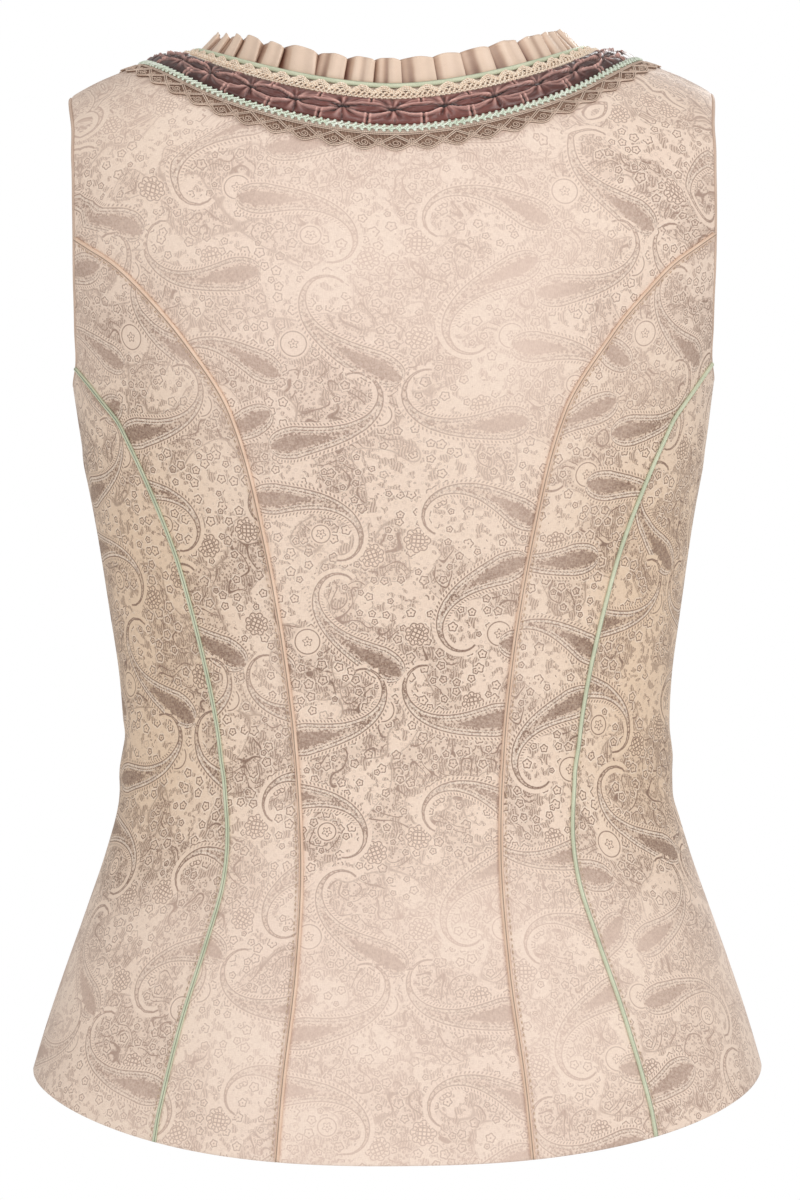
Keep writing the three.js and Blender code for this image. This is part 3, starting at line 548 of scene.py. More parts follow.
paisleys = Paisleys(PAISLEYS)


def blossom_maps(corners):
    """Corner coordinates round the nearest blossom, and its radius and kind, as Paisleys.read gives them."""
    middle = corners.mean(1)
    best = np.full(len(middle), 1e9)
    place = np.zeros(corners.shape)
    size = np.zeros(corners.shape)
    reach_x = range(int(middle[:, 0].min() // REPEAT_X) - 1, int(middle[:, 0].max() // REPEAT_X) + 2)
    for kind, (x, y, radius, turn) in enumerate(BLOSSOMS):
        c, s = math.cos(math.radians(turn)), math.sin(math.radians(turn))
        for i in reach_x:
            low = (middle[:, 1].min() - i * REPEAT_Y / 2) // REPEAT_Y - 1
            high = (middle[:, 1].max() - i * REPEAT_Y / 2) // REPEAT_Y + 2
            for j in range(int(low), int(high)):
                centre = np.array([x + i * REPEAT_X, y + i * REPEAT_Y / 2 + j * REPEAT_Y])
                near = ((middle - centre) ** 2).sum(-1)
                faces = near < best
                best[faces] = near[faces]
                off = corners[faces] - centre
                place[faces] = np.stack([off[..., 0] * c + off[..., 1] * s,
                                         off[..., 1] * c - off[..., 0] * s], -1)
                size[faces] = (radius, kind % 3)
    return place, size


# Materials.
def linear(*colour):
    """A colour in 0 to 255, as shaders read it."""
    parts = [c / 255 for c in colour]
    return [c / 12.92 if c <= 0.04045 else ((c + 0.055) / 1.055) ** 2.4 for c in parts] + [1.0]


class Number:
    """A shader value. Sums with it build nodes, and a | b is the greater of two."""

    def __init__(self, look, socket):
        self.look, self.socket = look, socket

    def __pow__(self, other):
        return self.look.maths("POWER", self, other)

    def __abs__(self):
        return self.look.maths("ABSOLUTE", self)


def operator(kind, turned=False):
    def build(self, other):
        pair = (other, self) if turned else (self, other)
        return self.look.maths(kind, *pair)
    return build


OPERATORS = {"add": "ADD", "sub": "SUBTRACT", "mul": "MULTIPLY", "truediv": "DIVIDE", "or": "MAXIMUM"}
for method, kind in OPERATORS.items():
    setattr(Number, f"__{method}__", operator(kind))
    setattr(Number, f"__r{method}__", operator(kind, True))


class Look:
    """A material whose pattern is written as formulas."""

    def __init__(self, name):
        self.material = bpy.data.materials.new(name)
        self.material.use_nodes = True
        self.tree = self.material.node_tree
        self.tree.nodes.clear()
        self.shader = self.node("ShaderNodeBsdfPrincipled")
        output = self.node("ShaderNodeOutputMaterial")
        self.tree.links.new(self.shader.outputs[0], output.inputs[0])

    def node(self, kind, **settings):
        node = self.tree.nodes.new(kind)
        for key, value in settings.items():
            setattr(node, key, value)
        return node

    def feed(self, socket, value):
        if isinstance(value, Number):
            self.tree.links.new(value.socket, socket)
        elif hasattr(value, "is_output"):
            self.tree.links.new(value, socket)
        else:
            socket.default_value = value

    def feed_all(self, node, values):
        for socket, value in zip(node.inputs, values):
            self.feed(socket, value)
        return node.outputs[0]

    def maths(self, kind, *values, clamp=False):
        node = self.node("ShaderNodeMath", operation=kind, use_clamp=clamp)
        return Number(self, self.feed_all(node, values))

    def sin(self, a):
        return self.maths("SINE", a)

    def cos(self, a):
        return self.maths("COSINE", a)

    def clip(self, a):
        return self.maths("ADD", a, 0, clamp=True)

    def step(self, value, low, high):
        """0 below low, 1 above high, and smooth between."""
        node = self.node("ShaderNodeMapRange", interpolation_type="SMOOTHSTEP")
        return Number(self, self.feed_all(node, (value, low, high, 0.0, 1.0)))

    def under(self, value, limit, soft):
        return self.step(value, limit + soft, limit - soft)

    def band(self, value, middle, half, soft):
        """1 where a value is near the middle."""
        return self.under(abs(value - middle), half, soft)

    def split(self, socket):
        """The three numbers of a vector."""
        node = self.node("ShaderNodeSeparateXYZ")
        self.tree.links.new(socket, node.inputs[0])
        return [Number(self, part) for part in node.outputs]

    def uv(self, name):
        return self.split(self.node("ShaderNodeUVMap", uv_map=name).outputs[0])[:2]

    def place(self):
        """The point on the piece, in metres."""
        return self.split(self.node("ShaderNodeTexCoord").outputs["Object"])

    def vector(self, x, y, z=0.0):
        return self.feed_all(self.node("ShaderNodeCombineXYZ"), (x, y, z))

    def noise(self, x, y, z=0.0, scale=1.0, detail=1.0, rough=0.5):
        node = self.node("ShaderNodeTexNoise")
        self.feed(node.inputs["Vector"], self.vector(x, y, z))
        node.inputs["Scale"].default_value = scale
        node.inputs["Detail"].default_value = detail
        node.inputs["Roughness"].default_value = rough
        return Number(self, node.outputs[0])

    def cells(self, x, y, spacing, scatter):
        """Scattered spots: offsets from the nearest spot, in the same unit, and two random numbers."""
        node = self.node("ShaderNodeTexVoronoi", voronoi_dimensions="2D")
        self.feed(node.inputs["Vector"], self.vector(x / spacing, y / spacing))
        node.inputs["Scale"].default_value = 1.0
        node.inputs["Randomness"].default_value = scatter
        spot_x, spot_y, _ = self.split(node.outputs["Position"])
        chance, other, _ = self.split(node.outputs["Color"])
        return x - spot_x * spacing, y - spot_y * spacing, chance, other

    def reach(self, x, y):
        return self.maths("SQRT", x * x + y * y)

    def polar(self, x, y):
        return self.reach(x, y), self.maths("ARCTAN2", y, x)

    def mix(self, amount, first, second):
        node = self.node("ShaderNodeMix", data_type="RGBA")
        colours = [s for s in node.inputs if s.type == "RGBA"]
        self.feed(node.inputs[0], amount)
        self.feed(colours[0], first)
        self.feed(colours[1], second)
        return [s for s in node.outputs if s.type == "RGBA"][0]

    def bump(self, height, distance, strength):
        node = self.node("ShaderNodeBump")
        node.inputs["Strength"].default_value = strength
        node.inputs["Distance"].default_value = distance
        self.feed(node.inputs["Height"], height)
        self.feed(self.shader.inputs["Normal"], node.outputs[0])

    def set(self, **values):
        for key, value in values.items():
            self.feed(self.shader.inputs[key.replace("_", " ")], value)


def set_sheen(look, weight, rough, tint, specular):
    look.set(Sheen_Weight=weight, Sheen_Roughness=rough, Specular_IOR_Level=specular)
    look.shader.inputs["Sheen Tint"].default_value = linear(*tint)


# Lines along a paisley's outline: how far each lies outside it, its half width and softness, and the
# paisley's half widths between which it comes in.
PAISLEY_LINES = {
    "rope": (-1.15, 0.42, 0.16, 1.2, 2.0),
    "second_rope": (-2.5, 0.3, 0.14, 3.4, 4.2),
    "beads": (-1.9, 0.4, 0.15, 2.2, 3.0),
    "fringe": (1.0, 0.6, 0.2, 1.0, 2.4),
}
OUTLINE = (-0.3, 0.26, 0.16)
PAISLEY_ROOM = 1.9
HEART_MARGIN, HEART_SHARE, HEART_PART = 3.0, 0.72, 0.42


def paisley_figure(look, mottle):
    """Dark and pale threads of the paisleys, and the room inside and outside them."""
    (along, across), (half, length) = look.uv("paisley"), look.uv("paisley_size")
    part = look.clip(along / length)
    head, taper = head_and_taper(part, look.clip)
    late = look.step(part, HEAD_PART - 0.0005, HEAD_PART + 0.0005)
    width = half * (head * (1 - late) + taper * late) + 0.02
    reach = abs(across)
    past = reach - width
    on_stroke = look.step(along, -0.2, 0.3) * look.under(along - length, 0.3, 0.4)
    inside = look.under(past, 0.0, 0.25) * on_stroke
    outside = 1 - look.under(past, PAISLEY_ROOM, 0.2) * on_stroke
    ticks = look.step(look.sin(along * 3.9 + reach * 1.4), -0.1, 0.5)
    lines = {name: look.band(past, middle, thin, soft) * look.step(width, low, high)
             for name, (middle, thin, soft, low, high) in PAISLEY_LINES.items()}

    # The dark heart in the head, and the mottled rest.
    heart_half = (width - HEART_MARGIN) * HEART_SHARE * look.clip((HEART_PART - part) * 6)
    heart = look.under(reach - heart_half, 0.0, 0.25) * look.step(heart_half, 0.3, 0.6)
    heart_rim = look.band(reach - heart_half, 0.0, 0.22, 0.12)
    heart = heart * look.clip(0.4 + 0.8 * mottle) | heart_rim * heart
    body = look.clip(0.1 + 0.9 * mottle + 0.5 * look.step(mottle, 0.5, 0.56) - 0.2)
    dark = inside * body | (heart | look.band(past, *OUTLINE) | lines["beads"] * ticks) * inside
    dark = dark | lines["fringe"] * ticks * on_stroke * 0.8
    pale = (lines["rope"] | lines["second_rope"]) * inside * (0.55 + 0.45 * ticks)
    return dark, pale, inside, outside


def blossom_figure(look):
    """A latticed heart in a ring of petals, or a ring round a small flower. Also the room round it."""
    (x, y), (radius, kind) = look.uv("blossom"), look.uv("blossom_size")
    r, turn = look.polar(x, y)
    inner = radius * 0.52
    lattice = look.step(look.sin(x * 3.4), 0.3, 0.7) | look.step(look.sin(y * 3.4), 0.3, 0.7)
    basket = lattice * look.under(r, inner, 0.2) | look.band(r, inner + 0.3, 0.25, 0.12)
    petals = look.band(r, radius * (0.82 + 0.18 * abs(look.cos(turn * 4))), 0.3, 0.16)
    veins = look.step(look.sin(turn * 16 + r), 0.1, 0.7) * look.band(r, radius * 0.73, radius * 0.13, 0.2)
    full = basket | petals | veins
    small_petals = look.band(r, 1.7 + 0.5 * look.cos(turn * 5), 0.28, 0.14)
    ringed = look.band(r, radius * 0.9, 0.28, 0.14) | small_petals | look.under(r, 0.5, 0.15)
    plain = look.under(kind, 0.5, 0.1)
    blossom = (full * (1 - plain) + ringed * plain) * look.under(r, radius * 1.12, 0.2)
    return blossom, look.step(r, radius, radius * 1.2)


# Spacing and scatter of the small flowers, the seeds and the dots. Each noise is read at its own level,
# well off the planes in which it repeats.
FLOWER_CELLS, SEED_CELLS, DOT_CELLS = (6.6, 0.95), (3.1, 1.0), (1.9, 0.9)
MOTTLE_LEVEL, CLUMP_LEVEL, VINE_LEVEL, ROOM_LEVEL = 0.4, 1.6, 5.0, 9.0
VINE_SCALE, ROOM_SCALE, CLUMP_SCALE = 0.085, 0.046, 0.3


def small_figure(look, x, y, tx, ty, mottle):
    """Vines with leaves, small flowers, rings and seeds between the large ones, and a pale halo round
    each flower."""
    field = look.noise(tx, ty, VINE_LEVEL, VINE_SCALE, 0.0)
    vine = look.under(abs(abs(field - 0.5) - 0.06), 0.012, 0.006)
    hatch = look.step(look.sin(x * 5.2 + 2.0 * look.sin(y * 0.7)), -0.3, 0.4)
    room = look.noise(tx, ty, ROOM_LEVEL, ROOM_SCALE, 0.0)
    roomy = look.step(room, 0.45, 0.55)
    rim = 0.6 * look.band(room, 0.5, 0.007, 0.005)
    clumps = look.noise(tx, ty, CLUMP_LEVEL, CLUMP_SCALE, rough=0.6) - 0.06 * roomy
    leaves = look.step(clumps, 0.53, 0.56) * (0.35 + 0.65 * hatch)
    leaf_edge = look.band(clumps, 0.52, 0.012, 0.008)

    fx, fy, chance, other = look.cells(x, y, *FLOWER_CELLS)
    r, turn = look.polar(fx, fy)
    size = 1.05 + 1.0 * chance
    blooms = look.step(other, 0.3, 0.32)
    petal = size * (1 + 0.13 * look.cos(turn * 5 + other * 9))
    flower = (look.band(r, petal, 0.3, 0.16) | look.under(r, 0.42, 0.18)) * blooms
    flower_room = look.under(r, size * 1.5, 0.3) * blooms
    halo = look.band(r, petal + 0.6, 0.25, 0.15) * blooms

    sx, sy, chance, other = look.cells(x + 3.1, y + 1.7, *SEED_CELLS)
    seed = look.band(look.reach(sx, sy), 0.35 + 0.45 * chance, 0.2, 0.12) * look.step(other, 0.3, 0.35)
    dx, dy, chance, other = look.cells(tx, ty, *DOT_CELLS)
    dot = look.under(look.reach(dx, dy), 0.3 + 0.35 * chance, 0.15) * look.step(other, 0.3, 0.35)

    growth = vine * (1 - roomy) | leaves * 0.8 | leaf_edge * 0.9 | seed * 0.7 * (1 - 0.7 * roomy)
    small = flower * 0.95 | (1 - flower_room) * growth
    return small | rim | (1 - roomy) * (0.8 * dot | 0.16 * (0.4 + mottle)), halo


# Colours of the brocade: its ground, its ground at the sides painted darker as shade, its figure where it is
# faint and where it stands out by painted sheen, its pale lines and its threads. The waist and the sides are
# given in metres.
GROUND = linear(241, 222, 206), linear(233, 209, 193)
SIDE_SHADE_GROUND = linear(224, 196, 167)
FIGURE_INK = linear(208, 177, 163), linear(104, 65, 38)
PALE_LINE = linear(246, 231, 215)
THREAD_SHADE, THREAD_SHINE = linear(150, 118, 100), linear(255, 244, 232)
THREAD_MIX = 0.2
WAIST_FROM, WAIST_TO, SIDE_FROM = (-0.40, -0.315), (-0.17, 0.07), (0.05, 0.125)


def brocade_look():
    """Cream jacquard with a tone in tone figure of paisleys, vines, blossoms and small flowers."""
    look = Look("brocade")
    x, y = look.uv("cloth")

    # Turned axes for the noises, so that nothing in them runs along the threads.
    tx, ty = x * 0.8 + y * 0.6, y * 0.8 - x * 0.6
    mottle = look.noise(tx, ty, MOTTLE_LEVEL, rough=0.6)
    dark, pale, inside, outside = paisley_figure(look, mottle)
    blossom, clear = blossom_figure(look)
    small, halo = small_figure(look, x, y, tx, ty, mottle)
    dark = dark | blossom * outside * 0.9 | small * (clear * outside)
    pale = pale | 0.6 * (halo * (clear * outside))

    # Threads: the figure's edges break up along them, and they show as fine light and dark lines.
    grain = look.noise(x * 2.6, y * 0.5)
    weft = look.noise(x * 0.45, y * 2.9)
    dark = look.clip(dark * (0.35 + 1.3 * weft))

    # Painted sheen and shade: the figure stands out most round the waist and at the sides, where satin and
    # matt threads would catch the light unevenly, and the ground there is painted darker as shade.
    px, _, pz = look.place()
    drift = look.noise(x * 0.011, y * 0.016)
    waist = look.step(pz, *WAIST_FROM) * look.under(pz, *WAIST_TO)
    side = look.step(abs(px), *SIDE_FROM)
    sheen_contrast = look.clip(0.22 + 0.66 * waist + 0.38 * side + 0.3 * side * waist + 1.2 * (drift - 0.5))
    # Painted shade: the ground turns to the darker side colour at the sides, most of all round the waist.
    side_shade = look.clip(side * 0.2 + 0.3 * waist + 0.6 * side * waist)
    ground = look.mix(side_shade, look.mix(drift, *GROUND), SIDE_SHADE_GROUND)
    colour = look.mix(look.clip(dark * (0.7 + 0.3 * sheen_contrast)), ground, look.mix(sheen_contrast, *FIGURE_INK))
    colour = look.mix(pale * (0.2 + 0.5 * sheen_contrast), colour, PALE_LINE)
    threads = look.clip(0.5 + 1.2 * (grain - 0.5) + 1.2 * (weft - 0.5))
    colour = look.mix(THREAD_MIX * (1 - threads), colour, THREAD_SHADE)
    colour = look.mix(THREAD_MIX * threads, colour, THREAD_SHINE)
    look.set(Base_Color=colour, Roughness=0.5 + 0.12 * inside + 0.1 * (grain - 0.5))
    set_sheen(look, 0.12, 0.4, (255, 240, 228), 0.3)
    look.bump(threads, 0.00012, 0.7)
    return look.material


def lining_look():
    """Plain cream lining with a fine twill."""
    look = Look("lining")
    x, y = look.uv("cloth")
    twill = look.sin((x + y) * 5.0)
    grain = look.noise(x * 1.8, y * 0.6, detail=2.0)
    shade = look.clip(0.5 + 0.25 * twill + 0.9 * (grain - 0.5))
    colour = look.mix(shade, linear(205, 184, 162), linear(232, 214, 194))
    look.set(Base_Color=colour, Roughness=0.62 + 0.1 * grain)
    set_sheen(look, 0.12, 0.4, (255, 245, 232), 0.3)
    look.bump(twill * 0.5 + grain, 0.0001, 0.6)
    return look.material


def cord_look(name, dark, light, rough, strands=0.0, pitch=1.5, shadow_line_at=0.0):
    """Satin covered or twisted cord. The map runs along it in millimetres and round it from 0 to 1, and a
    thin painted shadow line may run along it at one place round it, standing in for the shade of a sunken
    line there."""
    look = Look(name)
    s, turn = look.uv("cord")
    fuzz = look.noise(s * 2.2, turn * 6, detail=2.0)
    tone = look.noise(s * 0.07, turn)
    shade = 0.5 + 0.7 * (fuzz - 0.5) + 0.8 * (tone - 0.5)
    relief = fuzz * 0.6
    if strands:
        strand = look.sin(s * (2 * math.pi / pitch) + turn * (2 * math.pi * strands))
        # Painted shade: the colour darkens along the same twist as the relief, in the sunken lines between
        # the strands.
        shade = shade + 0.3 * strand
        relief = relief + strand * 0.5
    colour = look.mix(look.clip(shade), linear(*dark), linear(*light))
    # Painted shadow: a thin darker line along the cord stands in for the shade of a sunken line beside its
    # top.
    if shadow_line_at:
        line = look.band(turn, shadow_line_at, 0.035, 0.03)
        colour = look.mix(line * (0.5 + 0.6 * fuzz), colour, linear(*(0.55 * c for c in dark)))
    look.set(Base_Color=colour, Roughness=rough + 0.15 * (fuzz - 0.5))
    set_sheen(look, 0.15, 0.4, light, 0.3)
    look.bump(relief, 0.00015 if strands else 0.00008, 0.8)
    return look.material


def satin_look(name, dark, light, crest_highlight, hollow_shade, rough, sheen):
    """Satin, finely ribbed. One map is in millimetres, the other tells how much painted shade each point
    gets in the hollows of its folds and how much painted highlight on their crests.
    """
    look = Look(name)
    x, y = look.uv("satin")
    low, high = look.uv("fold_shade")
    ribs = look.noise(x * 0.35, y * 4.5)
    cloud = look.noise(x * 0.12, y * 0.2, detail=2.0)
    fine = look.noise(x * 3.0, y * 3.0)
    shade = look.clip(0.5 + 0.5 * (ribs - 0.5) + 1.1 * (cloud - 0.5) + 0.3 * (fine - 0.5))
    colour = look.mix(shade, linear(*dark), linear(*light))
    # Painted shade in the hollows of the folds, and painted highlights on their crests.
    colour = look.mix(look.clip(low * (0.85 + 0.5 * fine)), colour, linear(*hollow_shade))
    colour = look.mix(look.clip(high * (0.6 + 0.6 * fine)), colour, linear(*crest_highlight))
    look.set(Base_Color=colour, Roughness=rough + 0.12 * (ribs - 0.5))
    set_sheen(look, sheen, 0.35, light, 0.5)
    look.set(Coat_Weight=0.1, Coat_Roughness=0.35, Anisotropic=0.4)
    look.bump(ribs + 0.6 * cloud, 0.0001, 0.6)
    return look.material


def metal_look():
    """Bent steel wire, brushed along X."""
    look = Look("fastener_steel")
    x, y, z = look.place()
    brushed = look.noise(x * 300, y * 4000, z * 4000, detail=2.0)
    colour = look.mix(brushed, linear(150, 148, 142), linear(206, 204, 198))
    look.set(Base_Color=colour, Metallic=1.0, Roughness=0.28 + 0.2 * brushed)
    look.bump(brushed, 0.00003, 0.4)
    return look.material


def floor_look():
    """Matt white, hardly mottled."""
    look = Look("floor")
    x, y, _ = look.place()
    grain = look.noise(x, y, scale=3.0, detail=2.0)
    look.set(Base_Color=look.mix(grain, linear(240, 240, 240), linear(246, 246, 246)), Roughness=0.9)
    return look.material


BROCADE = brocade_look()
LINING = lining_look()
BEIGE = cord_look("beige_piping", (206, 172, 148), (238, 212, 190), 0.45, shadow_line_at=0.27)
MINT = cord_look("mint_piping", (166, 176, 148), (224, 226, 200), 0.48, shadow_line_at=0.16)
EDGING = cord_look("edging", (182, 156, 138), (218, 194, 176), 0.6)
THREAD = cord_look("stitching", (196, 170, 144), (232, 212, 190), 0.6, 1.5, 0.9)
GIMP_CORD = cord_look("gimp_cord", (216, 182, 152), (255, 245, 228), 0.6, 2.0, 1.3)
BRAID_CORD = cord_look("braid_cord", (194, 214, 184), (255, 255, 248), 0.6, 2.0, 0.9)
LACE_CORD = cord_look("lace_cord", (170, 138, 118), (250, 230, 212), 0.7, 2.0, 0.9)
# Partly the lace's net, partly painted shadow: its dark ground stands for the shade under and between the
# cords.
LACE_NET_AND_SHADOW = cord_look("lace_net_and_shadow", (104, 78, 64), (160, 132, 114), 0.8, 3.0, 1.2)
RIBBON = satin_look("ribbon_satin", dark=(80, 38, 34), light=(140, 82, 73), crest_highlight=(236, 184, 172),
                    hollow_shade=(30, 11, 10), rough=0.3, sheen=0.02)
FRILL = satin_look("frill_satin", dark=(196, 163, 139), light=(223, 193, 170), crest_highlight=(243, 220, 199),
                   hollow_shade=(104, 62, 46), rough=0.42, sheen=0.2)
STEEL = metal_look()


# Panels.
COARSE_ACROSS, COARSE_UP = 17, 30
FLATTEN_TURNS, FLATTEN_PULL = 1200, 0.16


def fill_grid(left, right, bottom, top, across, up):
    """Points on the figure that fill four edges, at parts across and up."""
    u, v = across[:, None, None], up[None, :, None]
    p = (left[None] * (1 - u) + right[None] * u + bottom[:, None] * (1 - v) + top[:, None] * v
         - bottom[0] * (1 - u) * (1 - v) - bottom[-1] * u * (1 - v)
         - top[0] * (1 - u) * v - top[-1] * u * v)
    return onto_figure(p)


def flatten(points, pinned):
    """The flat shape of a grid of cloth, by letting its edges find their true lengths. Its first
    rows stay on the middle line where they are pinned."""
    depth = figure(points[..., 2], BACK)
    turn = np.arctan2(points[..., 0] / figure(points[..., 2], HALF), points[..., 1] / depth)
    flat = np.stack([ROUND_SCALE * turn, points[..., 2]], -1)
    pairs = []
    for di, dj in ((1, 0), (0, 1), (1, 1), (1, -1)):
        a = (slice(None, -di or None), slice(None, -dj or None) if dj >= 0 else slice(1, None))
        b = (slice(di, None), slice(dj, None) if dj >= 0 else slice(None, -1))
        pairs.append((a, b, np.linalg.norm(points[b] - points[a], axis=-1)))
    for _ in range(FLATTEN_TURNS):
        move = np.zeros_like(flat)
        for a, b, rest in pairs:
            gap = flat[b] - flat[a]
            length = np.linalg.norm(gap, axis=-1)
            push = gap * ((length - rest) / np.maximum(length, 1e-9))[..., None]
            move[a] += push
            move[b] -= push
        flat = flat + FLATTEN_PULL * move
        flat[0, :pinned, 0] = 0
    return flat


def flat_shape(base, across, up, joined):
    """The flat shape of a fine grid, worked out on a coarse one."""
    i, j = (np.unique(np.searchsorted(parts, np.linspace(0, 1, count)).clip(0, len(parts) - 1))
            for parts, count in ((across, COARSE_ACROSS), (up, COARSE_UP)))
    coarse = flatten(base[np.ix_(i, j)], (j <= joined).sum() if joined else 0)
    wide = np.stack([[np.interp(across, across[i], coarse[:, n, k]) for k in range(2)]
                     for n in range(len(j))])
    return np.stack([[np.interp(up, up[j], wide[:, k, m]) for k in range(2)]
                     for m in range(len(across))]).transpose(0, 2, 1)


def flat_area(flat):
    """The area of a flat grid of cloth."""
    one, other = flat[1:, 1:] - flat[:-1, :-1], flat[:-1, 1:] - flat[1:, :-1]
    return np.abs(one[..., 0] * other[..., 1] - one[..., 1] * other[..., 0]).sum() / 2


# The cloth map starts well above zero. The edges roll in by a dip that reaches a little way, the
# brocade is turned up inside the hem, and puckers run along the seams.
CLOTH_START = 1000
EDGE_DIP, DIP_REACH, INNER_DIP = 0.8, 1.1, 0.55
FACING = 18
PUCKER, PUCKER_REACH = 0.16, 5
FAR_OFF = 1e3


def edge_distance(points):
    """Distance of each grid point from the two side edges and from the two end edges."""
    across = np.linalg.norm(np.diff(points, axis=0), axis=-1)
    up = np.linalg.norm(np.diff(points, axis=1), axis=-1)
    from_left = np.concatenate([np.zeros((1, points.shape[1])), np.cumsum(across, 0)])
    from_low = np.concatenate([np.zeros((points.shape[0], 1)), np.cumsum(up, 1)], 1)
    return from_left, from_left[-1:] - from_left, from_low, from_low[:, -1:] - from_low


def rounding(distance):
    """How far an edge is rolled in at a distance from it, from 0 to 1."""
    inside = clip(1 - distance / DIP_REACH)
    return 1 - np.sqrt(clip(1 - inside**2))


def panel(name, left, right, top_line, up, joined=0):
    """A panel of brocade with its lining, in its true shape and rolled in at its edges, for both
    sides. A panel that is whole across the middle is joined to its mirror image in the first column,
    up to the row joined."""
    grid_across, _, shift = GRIDS[name]
    across = graded(*grid_across)
    bottom = resample(hem_line(left[0], right[0]), across)
    base = fill_grid(left, right, bottom, resample(top_line, across), across, up)
    lefts, rights, lows, highs = edge_distance(base)
    inset = np.zeros_like(base)
    gap = SEAM_GAP / 2
    free = joined + 1 if joined else 0
    inset[-1] += unit(base[-2] - base[-1]) * gap
    inset[:, 0] += unit(base[:, 1] - base[:, 0]) * gap
    inset[:, -1] += unit(base[:, -2] - base[:, -1]) * gap
    inset[0, free:] += unit(base[1, free:] - base[0, free:]) * gap
    normal = outward(base)
    flat = flat_shape(base, across, up, joined)
    wide, tall = flat.max((0, 1)) - flat.min((0, 1))
    twice = 2 if joined else 1
    twice * wide
    twice * flat_area(flat)
    if joined:
        lefts = np.where(np.arange(len(up))[None, :] <= joined, FAR_OFF, lefts)
    ripple = np.sin(lows / 1.7 + 2 * np.sin(lows / 23))
    pucker = sum(PUCKER * ripple * np.exp(-distance / PUCKER_REACH) * np.minimum(distance / 2, 1)
                 for distance in (lefts, rights))
    dip = EDGE_DIP * np.max([rounding(distance) for distance in (lefts, rights, lows, highs)], axis=0)
    halves = []
    for side, mirror in MIRRORS.items():
        lift = crease_at(base * mirror) + pucker
        outer = base + inset + normal * (lift - dip)[..., None]
        inner = base + inset + normal * (lift + INNER_DIP * dip - WALL)[..., None]
        halves.append((outer * mirror, inner * mirror, flat * mirror[:2], side == "left"))
    if joined:
        return [panel_piece(name, halves, joined, shift, lows)]
    return [panel_piece(f"{name}_{side}", [half], 0, shift, lows) for side, half in zip(MIRRORS, halves)]


def panel_piece(name, halves, joined, shift, lows):
    """One panel's mesh: its outer layer, its lining and its rims, with the maps of the figure."""
    rows, columns = halves[0][0].shape[:2]
    count = rows * columns
    part = closed_quads(rows, columns, joined)
    quads = grid_faces(rows, columns)
    kind = np.zeros(len(part))
    kind[len(quads): 2 * len(quads)] = lows.reshape(-1)[quads].mean(1) >= FACING
    target = np.arange(count * 2 * len(halves))
    if joined:
        seam = np.arange(joined + 1)
        for layer in (0, count):
            target[2 * count + layer + seam] = layer + seam
    points, faces, corners = [], [], []
    for half, (outer, inner, flat, own_way) in enumerate(halves):
        points += [outer.reshape(-1, 3), inner.reshape(-1, 3)]
        flat = flat.reshape(-1, 2)
        place = np.concatenate([flat, flat])[part] + np.array(shift)
        own = target[part + half * 2 * count]
        faces.append(own if own_way else own[:, ::-1])
        corners.append(place if own_way else place[:, ::-1])
    points, faces, corners = (np.concatenate(v) for v in (points, faces, corners))
    faces, corners = turned_out(points, faces, corners)
    used, faces = np.unique(faces, return_inverse=True)
    place, size = paisleys.read(corners)
    blossom, blossom_size = blossom_maps(corners)
    maps = {"cloth": corners + CLOTH_START, "paisley": place, "paisley_size": size,
            "blossom": blossom, "blossom_size": blossom_size}
    piece = new_piece(f"{name}_cloth", points[used], faces.reshape(-1, 4), maps,
                      np.tile(kind, len(halves)))
    return finish_piece(piece, "brocade", [name], BROCADE, LINING)


def two_part(first, second, low, top):
    """An edge of two lines, each at its own parts of its length."""
    return np.concatenate([resample(first, low), resample(second, top)])


def lower_steps(length, pitch, limit):
    """Steps up the lower part of an edge, which stop short of its end."""
    steps = graded(length, pitch)
    return steps[steps < limit]


# Parts of the height at which the neck or the armhole takes over from a panel's lower edges.
BACK_LOW, FRONT_LOW = 0.78, 0.66
# Each panel's grid: its length and pitch across, those up its edges, and its shift over the repeat.
GRIDS = {
    "back_centre": ((110, 2.6), (440, 2.9), (0, 0)),
    "back_side": ((55, 2.4), (430, 2.8), (37, 61)),
    "side": ((170, 3.0), (430, 2.8), (71, 17)),
    "front_centre": ((100, 2.8), (380, 3.0), (13, 89)),
}


def build_panels():
    """All panels, from the middle of the back round to the front opening."""
    low = lower_steps(*GRIDS["back_centre"][1], 0.994)
    top = np.concatenate([np.linspace(0, 0.975, 42), [0.985, 0.994, 1]])
    left = two_part(middle_line(NECK_BACK_Z, 1), NECKS["back"], low, top)
    right = two_part(SEAMS["back"], ARMHOLE["back"][::-1], low, top)
    up = np.concatenate([low * BACK_LOW, BACK_LOW + top * (1 - BACK_LOW)])
    pieces = panel("back_centre", left, right, SHOULDER, up, len(low))

    up = graded(*GRIDS["side"][1])
    left, middle, right = (resample(SEAMS[name], up) for name in ("back", "side", "front"))
    pieces += panel("back_side", left, middle, ARMHOLE["side_back"], up)
    pieces += panel("side", middle, right, ARMHOLE["side"], up)

    low = lower_steps(*GRIDS["front_centre"][1], 0.992)
    top = np.concatenate([np.linspace(0, 0.985, 76), [0.992, 0.997, 1]])
    left = two_part(middle_line(FRONT_NECK[-1][1], -1), NECKS["front"][::-1], low, top)
    up = np.concatenate([low * FRONT_LOW, FRONT_LOW + top * (1 - FRONT_LOW)])
    right = resample(np.concatenate([SEAMS["front"], ARMHOLE["front"][1:]]), up)
    return pieces + panel("front_centre", left, right, SHOULDER, up)


# The neck edge, as a table of rays over the cloth.
RAY_STEP = 2.0
RAY_COUNT = 22
NECK_STEPS = 800


